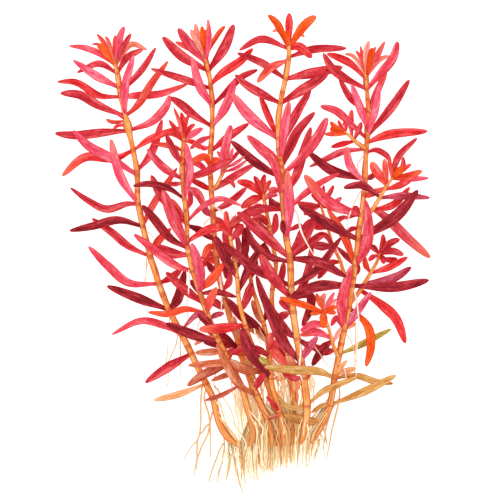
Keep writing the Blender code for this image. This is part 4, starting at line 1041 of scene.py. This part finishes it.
def add_stem(sheets, stem, path_start, joints, knobs, chance):
    """A round stem, swollen at each whorl and more at a knob, with shallow flutes."""
    line = path_start + stem.line
    extra = len(path_start)
    count = 2 * len(line)
    smooth_line = curve_through(line, count)
    far = reaches(smooth_line)
    corners, across, reach, aside, joint_share, age = [], [], [], [], [], []
    twist = chance.uniform(0, 2 * math.pi)
    for k, middle in enumerate(smooth_line):
        index = k * (len(line) - 1) / (count - 1) - extra
        side, up = frame_at(smooth_line, k)
        near = max((math.exp(-((index - j) / WHORL_REACH) ** 2) for j in joints), default=0.0)
        fat = sum(swell * math.exp(-((index - j) / KNOB_WIDTH) ** 2) for j, swell in knobs)
        radius = stem.radius(max(index, 0)) * (STEM_BETWEEN + WHORL_SWELL * near + fat)
        if not path_start:
            radius *= CUT_END_WIDTH + (1 - CUT_END_WIDTH) * min(index / CUT_END_TAPER, 1.0)
        if k == count - 1:
            radius *= STEM_TIP_WIDTH
        for n in range(STEM_SIDES):
            angle = 2 * math.pi * n / STEM_SIDES
            wide = radius * (1 + FLUTE_DEPTH * math.cos(FLUTES * angle + twist))
            corners.append(middle + side * (wide * math.cos(angle)) - up * (wide * math.sin(angle)))
            across.append(abs(math.cos(angle)))
            reach.append(far[k])
            aside.append(abs(angle - math.pi) * radius / MM)
            joint_share.append(near)
            age.append(1 - max(index, 0) / len(line))
    faces = ring_faces(count, STEM_SIDES)
    faces.append([(count - 1) * STEM_SIDES + n for n in range(STEM_SIDES)])
    sheets.add(
        corners, faces, [(1.0, 1.0, 1.0)] * 3, across=across, reach=reach, aside=aside, joint=joint_share,
        glow=age, variety=chance.random())


def add_strand(sheets, points, radius, tone, chance, end=0.35):
    """One root: nearly straight, widest above its middle, and down to a share of its radius at its tip."""
    count = 5 * len(points)
    line = curve_through(points, count)
    far = reaches(line)
    wander = [chance.uniform(0, 2 * math.pi) for _ in range(4)]
    corners, reach, aside = [], [], []
    for k, middle in enumerate(line):
        s = k / (count - 1)
        side, up = frame_at(line, k)
        away = math.sin(math.pi * s) * STRAND_SWAY
        turn = math.sin(LONG_BENDS[0] * s + wander[0]) + SHORT_BEND_SHARE * math.sin(
            SHORT_BENDS[0] * s + wander[1])
        lift = math.sin(LONG_BENDS[1] * s + wander[2]) + SHORT_BEND_SHARE * math.sin(
            SHORT_BENDS[1] * s + wander[3])
        centre = middle + side * (away * turn) + up * (away * lift * UPWARD_SWAY)
        thin = radius * (end + (STRAND_FULLNESS - end) * math.sin(math.pi * (0.2 + 0.8 * s)))
        centre.z = max(centre.z, thin + LOWEST)
        for n in range(STRAND_SIDES):
            angle = 2 * math.pi * n / STRAND_SIDES
            corners.append(centre + side * (thin * math.cos(angle)) - up * (thin * math.sin(angle)))
            reach.append(far[k])
            aside.append(angle)
    faces = ring_faces(count, STRAND_SIDES)
    faces.append([(count - 1) * STRAND_SIDES + n for n in range(STRAND_SIDES)])
    sheets.add(corners, faces, [linear(tone)] * 3, reach=reach, aside=aside, variety=chance.random())


# Root threads: colour and radius in millimetres.
ROOT_KINDS = {
    "pale": [("#FBF1D4", 0.32), ("#F9E8C0", 0.32), ("#F8DAB0", 0.28), ("#F4C894", 0.22), ("#7E8470", 0.10)],
    "tan": [("#F2D698", 0.32), ("#DCAE66", 0.28), ("#F7E4B4", 0.34), ("#FAF0D0", 0.34), ("#DC9A58", 0.26),
            ("#7E8470", 0.10), ("#C8763E", 0.14)],
    "salmon": [("#F29460", 0.55), ("#F7C09A", 0.38), ("#FAE8CC", 0.34), ("#EE9E68", 0.42)],
    "sheath": [("#E8B070", 0.30), ("#F5D6A0", 0.28), ("#DC9454", 0.28), ("#F9E8C0", 0.26), ("#C4703C", 0.14),
               ("#8A8E78", 0.10)],
    "thin": [("#E4C89C", 0.26), ("#F2E2BC", 0.26), ("#7E8470", 0.12)],
}

# Roots of each stem, in bundles: kind, how many, the row of places that they pass beside the stem
# (its left and right end), the row of their tips, and the heights of both rows.
ROOT_BUNDLES = {
    "far_left": [
        ("thin", 16, (228, 446), (242, 450), (214, 474), (250, 486), 5, 1),
        ("sheath", 5, (234, 438), (246, 438), (241, 470), (254, 478), 9, 3),
    ],
    "left": [
        ("pale", 16, (234, 399), (254, 402), (241, 440), (254, 446), 6, 6),
        ("tan", 52, (241, 440), (262, 436), (240, 474), (266, 478), 8, 3),
        ("sheath", 6, (250, 430), (263, 426), (245, 470), (260, 476), 12, 5),
    ],
    "back_left": [
        ("pale", 12, (257, 372), (270, 378), (262, 408), (271, 412), 5, 5),
        ("pale", 14, (248, 394), (257, 398), (254, 426), (264, 428), 5, 5),
        ("tan", 38, (261, 420), (276, 416), (257, 467), (277, 469), 7, 2),
        ("sheath", 6, (265, 430), (277, 428), (261, 468), (276, 472), 12, 4),
    ],
    "inner_left": [
        ("tan", 26, (270, 414), (284, 412), (270, 468), (284, 463), 4, 1),
        ("pale", 12, (266, 408), (282, 410), (266, 462), (284, 460), 5, 2),
        ("sheath", 4, (273, 430), (284, 428), (271, 468), (284, 468), 8, 2),
    ],
    "inner": [
        ("pale", 16, (276, 382), (289, 380), (281, 412), (290, 414), 6, 5),
        ("tan", 26, (279, 414), (292, 412), (280, 461), (293, 461), 6, 3),
        ("sheath", 5, (279, 430), (290, 428), (280, 466), (292, 468), 10, 3),
    ],
    "back_centre": [
        ("salmon", 9, (290, 382), (300, 382), (290, 414), (297, 414), 5, 4),
        ("pale", 8, (283, 384), (300, 382), (286, 414), (299, 412), 4, 4),
        ("tan", 26, (287, 412), (300, 410), (286, 459), (300, 457), 5, 2),
        ("sheath", 4, (287, 430), (298, 428), (287, 466), (299, 468), 7, 2),
    ],
    "centre": [
        ("pale", 8, (306, 382), (315, 380), (308, 402), (317, 404), 6, 5),
        ("tan", 24, (297, 414), (309, 412), (295, 459), (309, 459), 8, 3),
        ("sheath", 6, (297, 428), (309, 426), (295, 466), (308, 466), 14, 5),
    ],
    "right": [
        ("thin", 12, (306, 426), (321, 428), (304, 466), (328, 460), 5, 1),
        ("pale", 10, (306, 428), (318, 430), (303, 464), (318, 460), 5, 2),
        ("sheath", 6, (310, 432), (321, 430), (302, 460), (311, 460), 8, 3),
    ],
}

# Single long roots, each with its places as (across, down, height).
LOOSE_ROOTS = {
    "left_loose_roots": [
        [(202, 386, 7), (201, 398, 5), (200.8, 412, 3), (201, 424, 2), (198, 439, 1), (191.5, 447, 0.8),
         (183, 461, 0.6)],
        [(197, 440, 1.4), (197, 455, 0.8), (196, 470, 0.6)],
        [(206, 388, 7), (204.5, 399, 5), (208, 413, 3), (209.5, 424, 2), (209.6, 440, 1.2),
         (210.5, 458, 0.6)],
        [(212, 413, 6), (210, 424, 3), (207, 438, 1.5), (201, 449, 1), (196, 463, 0.7), (194, 476, 0.6)],
        [(197, 458, 1), (195.5, 467, 0.8), (194.5, 474, 0.6)],
        [(209.5, 424, 2), (203, 431, 1.5), (197, 439, 1)],
        [(224, 438, 5), (224, 450, 3), (221, 463, 2), (219, 474, 1), (217, 484, 0.6)],
        [(223, 444, 4), (216, 459, 2), (211.5, 472, 1), (209, 484, 0.6)],
        [(229, 444, 5), (229.5, 458, 3), (228, 470, 1.5), (226, 481, 0.6)],
        [(231, 445, 5), (234.5, 460, 3), (236.5, 472, 1.5), (239, 484, 1), (243, 494, 0.6)],
        [(232, 450, 5), (235.5, 464, 3), (237.5, 476, 1.5), (239.5, 486, 1)],
        [(214, 386, 6), (217, 390, 5), (220, 394, 4)],
    ],
    "right_loose_root": [
        [(339, 385, 9), (340, 396, 6), (338.5, 408, 4), (335, 421, 2.5), (332, 433, 1.2),
         (329.5, 446, 0.8), (327, 460, 0.6)],
        [(338, 400, 8), (333, 409, 6), (329, 420, 4), (326, 431, 2.5), (324.5, 441, 1.5), (324, 450, 0.8)],
        [(324, 429, 5), (326, 438, 2), (328, 446, 1)],
        [(320, 440, 4), (317, 453, 1.5), (314, 462, 0.6)],
    ],
}
LOOSE_TONE = "#DCB48A"
LOOSE_END = 0.6
LOOSE_RADIUS = 0.38

# How the strands of a bundle differ. In millimetres: how thick both rows are. In squares: how far
# a tip strays aside, down and up, how far above its first row a strand leaves the stem, and its bow.
# The last ones are shares: further up the stem for strands further aside, the part of the stem's
# radius above or below its middle where they leave, where they run straight to, and thickness.
TOP_ROW_DEPTH = 1.5
TIP_ROW_DEPTH = 1.0
TIP_ASIDE = 2
TIP_DOWN = 12
TIP_UP = 9
LEAVES_STEM = (4, 14)
STRAND_BOW = 1.5
CLIMB_ASIDE = 1.3
LEAVES_ABOVE = 0.6
LEAVES_BELOW = 0.5
STRAIGHT_TO = 0.25
STRAND_THICKNESS = (0.6, 1.15)

# Thin hairs from the joints of the stems: colour, radius in millimetres, places.
HAIRS = {
    "far_left": [
        ("#F8C89A", 0.20, [(150, 254, 9), (147, 268, 7), (144, 293, 5)]),
        ("#F8C89A", 0.18, [(144, 230, 9), (150, 234, 10), (154, 241, 9)]),
        ("#F4BE8E", 0.24, [(178, 330, 9), (176, 345, 7), (168, 362, 5), (168, 383, 3), (164, 389, 2)]),
        ("#F4BE8E", 0.26, [(180, 332, 9), (180.5, 350, 7), (179.5, 387, 3)]),
        ("#F8C89A", 0.18, [(169, 312, 9), (169, 338, 5)]),
        ("#F4BE8E", 0.22, [(167, 345, 6), (166, 368, 4), (167, 388, 2)]),
        ("#F2D6AC", 0.26, [(216, 396, 7), (221, 408, 6), (225, 420, 5), (229, 430, 4)]),
        ("#F2D6AC", 0.26, [(222, 396, 7), (228, 406, 7), (232, 414, 6), (236, 426, 6), (240, 437, 5)]),
        ("#F0B48C", 0.20, [(147, 255, 9), (146, 270, 8), (144, 283, 7)]),
    ],
    "left": [
        ("#F0EAE2", 0.34, [(189, 270, 16), (189, 282, 17), (189, 299, 16)]),
        ("#F8C89A", 0.18, [(189, 294, 16), (187, 306, 15), (188, 320, 14)]),
        ("#F8C89A", 0.18, [(203, 312, 15), (199, 322, 15), (196, 334, 14)]),
        ("#F8C89A", 0.18, [(225, 354, 14), (214, 380, 9), (220, 396, 6)]),
        ("#F0B48C", 0.20, [(231, 378, 10), (233, 392, 8), (237, 405, 6)]),
        ("#E9DCC4", 0.20, [(236, 380, 10), (240, 396, 8), (243, 412, 6)]),
    ],
    "back_left": [
        ("#F4EDE0", 0.40, [(213, 205, 13), (224, 215, 15), (226, 230, 16), (232, 243, 17), (237, 251, 18)]),
        ("#F8C89A", 0.18, [(211, 218, 12), (205, 222, 12), (204, 230, 11)]),
        ("#F4EDE0", 0.34, [(218, 270, 12), (222, 290, 16), (221, 312, 16)]),
    ],
    "centre": [
        ("#F4EDE0", 0.40, [(285, 205, 21), (296, 212, 22), (300, 226, 22), (305, 240, 21), (315, 258, 20)]),
        ("#F0E4E4", 0.34, [(296, 330, 22), (301, 348, 23), (299, 372, 22), (310, 392, 14)]),
        ("#F6E6C8", 0.30, [(254, 328, 19), (257, 336, 19), (262, 346, 18)]),
        ("#B9AE84", 0.22, [(259, 327, 19), (263, 336, 19), (267, 346, 18)]),
    ],
    "right": [
        ("#F0B48C", 0.18, [(366, 152, 12), (359, 162, 13), (357, 174, 13)]),
        ("#F0E4DC", 0.34, [(363, 188, 13), (354, 202, 14), (349, 215, 15), (347, 232, 14)]),
        ("#F0E4DC", 0.32, [(352, 283, 14), (356, 300, 15), (358, 320, 14), (357, 350, 12), (356, 393, 8)]),
        ("#F0B48C", 0.18, [(344, 330, 13), (352, 345, 13), (357, 366, 11)]),
        ("#E9DCD4", 0.20, [(337, 362, 12), (345, 372, 12), (348, 392, 8)]),
        ("#F0B48C", 0.20, [(356, 300, 14), (355, 322, 13), (356, 345, 11), (355, 375, 8), (354, 390, 6)]),
        ("#E0C8B0", 0.20, [(311, 340, 16), (318, 352, 14), (327, 364, 12), (333, 372, 11)]),
    ],
}

# Joints that stand out as knobs: where on the plan, and how much wider the stem is there. No ring
# is drawn within the reach of one.
KNOBS = {"far_left": [(124, 0.85)], "centre": [(44, 0.35)]}
KNOB_REACH = 3


def add_bundle(sheets, stem, bundle, chance):
    """Strands that leave a stem above a row of places, pass that row and run down to their tips."""
    kind, count, left, right, tip_left, tip_right, height, tip_height = bundle
    for number in range(count):
        tone, thick = chance.choice(ROOT_KINDS[kind])
        share = (number + chance.random()) / count
        top = place(*left, height).lerp(place(*right, height), share)
        tip = place(*tip_left, tip_height).lerp(place(*tip_right, tip_height), share)
        top.z += chance.uniform(-TOP_ROW_DEPTH, TOP_ROW_DEPTH) * MM
        stray = (chance.uniform(-TIP_ASIDE, TIP_ASIDE), chance.uniform(-TIP_DOWN, TIP_UP), 0.0)
        tip += Vector(stray) * SQUARE
        tip.z = max(tip.z + chance.uniform(-TIP_ROW_DEPTH, TIP_ROW_DEPTH) * MM, 2 * LOWEST)
        at = stem.index_at(left[1] - chance.uniform(*LEAVES_STEM))
        aside = abs(top.x - stem.line[at].x) / SQUARE
        at = stem.index_at(left[1] - chance.uniform(*LEAVES_STEM) - CLIMB_ASIDE * aside)
        start = stem.line[at].copy()
        start.z += stem.radius(at) * (LEAVES_ABOVE if top.z > start.z else -LEAVES_BELOW)
        bow = chance.uniform(-STRAND_BOW, STRAND_BOW) * SQUARE
        middle = top.lerp(tip, 0.5)
        middle.x += bow
        passes = [start, top, top.lerp(tip, STRAIGHT_TO), middle, tip]
        add_strand(sheets, passes, thick * MM * chance.uniform(*STRAND_THICKNESS), tone, chance)


leaf_red = leaf_tissue()
stem_orange = stem_flesh()
root_pale = root_thread()

stems = grow_stems()
leaves = grow_leaves(stems)
for name, stem in stems.items():
    chance = random.Random("rotala " + name)
    blades = Sheets()
    for line, width, tone in leaves[name]:
        add_leaf(blades, line, width, tone, chance)
    blades.piece(name + "_leaves", leaf_red, [name + "_shoot"])
    stalk = Sheets()
    path_start = []
    if name in FORKS:
        parent_name, down = FORKS[name]
        parent = stems[parent_name]
        path_start = [parent.line[parent.index_at(down)].copy()]
    knobs = [(stem.index_at(down), swell) for down, swell in KNOBS.get(name, [])]
    joints = sorted({stem.index_at(leaf[0]) for _, leaf in leaves_of(name, stems)})
    joints = [j for j in joints if all(abs(j - knob) > KNOB_REACH for knob, _ in knobs)]
    add_stem(stalk, stem, path_start, joints, knobs, chance)
    stalk.piece(name + "_stem", stem_orange, [name + "_shoot"])
    if name in HAIRS:
        threads = Sheets()
        for tone, thick, points in HAIRS[name]:
            add_strand(threads, [place(*p) for p in points], thick * MM, tone, chance)
        threads.piece(name + "_hairs", root_pale)
for name, bundles in ROOT_BUNDLES.items():
    chance = random.Random("rotala roots " + name)
    tuft = Sheets()
    for bundle in bundles:
        add_bundle(tuft, stems[name], bundle, chance)
    tuft.piece(name + "_root_strands", root_pale, [name + "_roots"])
for name, strands in LOOSE_ROOTS.items():
    chance = random.Random("rotala roots " + name)
    threads = Sheets()
    for points in strands:
        add_strand(threads, [place(*p) for p in points], LOOSE_RADIUS * MM, LOOSE_TONE, chance, LOOSE_END)
    threads.piece(name + "_strands", root_pale, [name])


def pale_surface():
    """A white light board: dull, with a trace of mottling, and lit a little from within, so that
    what lies on it casts hardly a shadow."""
    material, shader = fresh_material("white_board", 0.9, 0.1)
    spot = node(material, "TexCoord", {}, "Object")
    mottle = node(material, "TexNoise", {"Vector": spot, "Scale": 30.0})
    colour = washed(material, (*linear("#FFFFFF"), 1.0), [(mottle, 0.3, 0.7, 1.0, "MIX", "#FCFCFC")])
    material.node_tree.links.new(colour, shader.inputs["Base Color"])
    shader.inputs["Emission Color"].default_value = (1.0, 1.0, 1.0, 1.0)
    shader.inputs["Emission Strength"].default_value = BOARD_GLOW
    return material


floor_mesh = bpy.data.meshes.new("board")
half = BOARD_SIZE / 2
floor_corners = [(-half, -half, 0), (half, -half, 0), (half, half, 0), (-half, half, 0)]
floor_mesh.from_pydata(floor_corners, [], [(0, 1, 2, 3)])
floor_mesh.materials.append(pale_surface())
board = bpy.data.objects.new("board", floor_mesh)
bpy.context.scene.collection.objects.link(board)


def soft_light(name, size, power, position):
    """A square soft light that faces the middle of the bunch."""
    data = bpy.data.lights.new(name, "AREA")
    data.size = size
    data.energy = power
    lamp = bpy.data.objects.new(name, data)
    lamp.location = position
    lamp.rotation_euler = (-Vector(position)).to_track_quat("-Z", "Y").to_euler()
    bpy.context.scene.collection.objects.link(lamp)


soft_light("window", 1.2, 8.0, (-0.9, 0.7, 1.3))
soft_light("fill", 1.4, 5.0, (1.0, -0.5, 1.2))
world = bpy.data.worlds.new("studio")
world.use_nodes = True
world.node_tree.nodes["Background"].inputs["Color"].default_value = (1.0, 1.0, 1.0, 1.0)
world.node_tree.nodes["Background"].inputs["Strength"].default_value = STUDIO_BRIGHTNESS
bpy.context.scene.world = world
bpy.context.scene.view_settings.view_transform = "Standard"

# A long lens straight above, so that the picture's frame is 500 squares of the plan at a level
# among the leaves.
FRAME_SQUARES = 500
LENS_HEIGHT = 2.0
LEAF_LEVEL = 0.012
SENSOR = 36.0
eye = bpy.data.cameras.new("above")
eye.sensor_width = SENSOR
eye.lens = SENSOR * LENS_HEIGHT / (FRAME_SQUARES * SQUARE)
camera = bpy.data.objects.new("above", eye)
picture_middle = place(FRAME_SQUARES / 2, FRAME_SQUARES / 2, 0)
camera.location = (picture_middle.x, picture_middle.y, LENS_HEIGHT + LEAF_LEVEL)
bpy.context.scene.collection.objects.link(camera)
bpy.context.scene.camera = camera
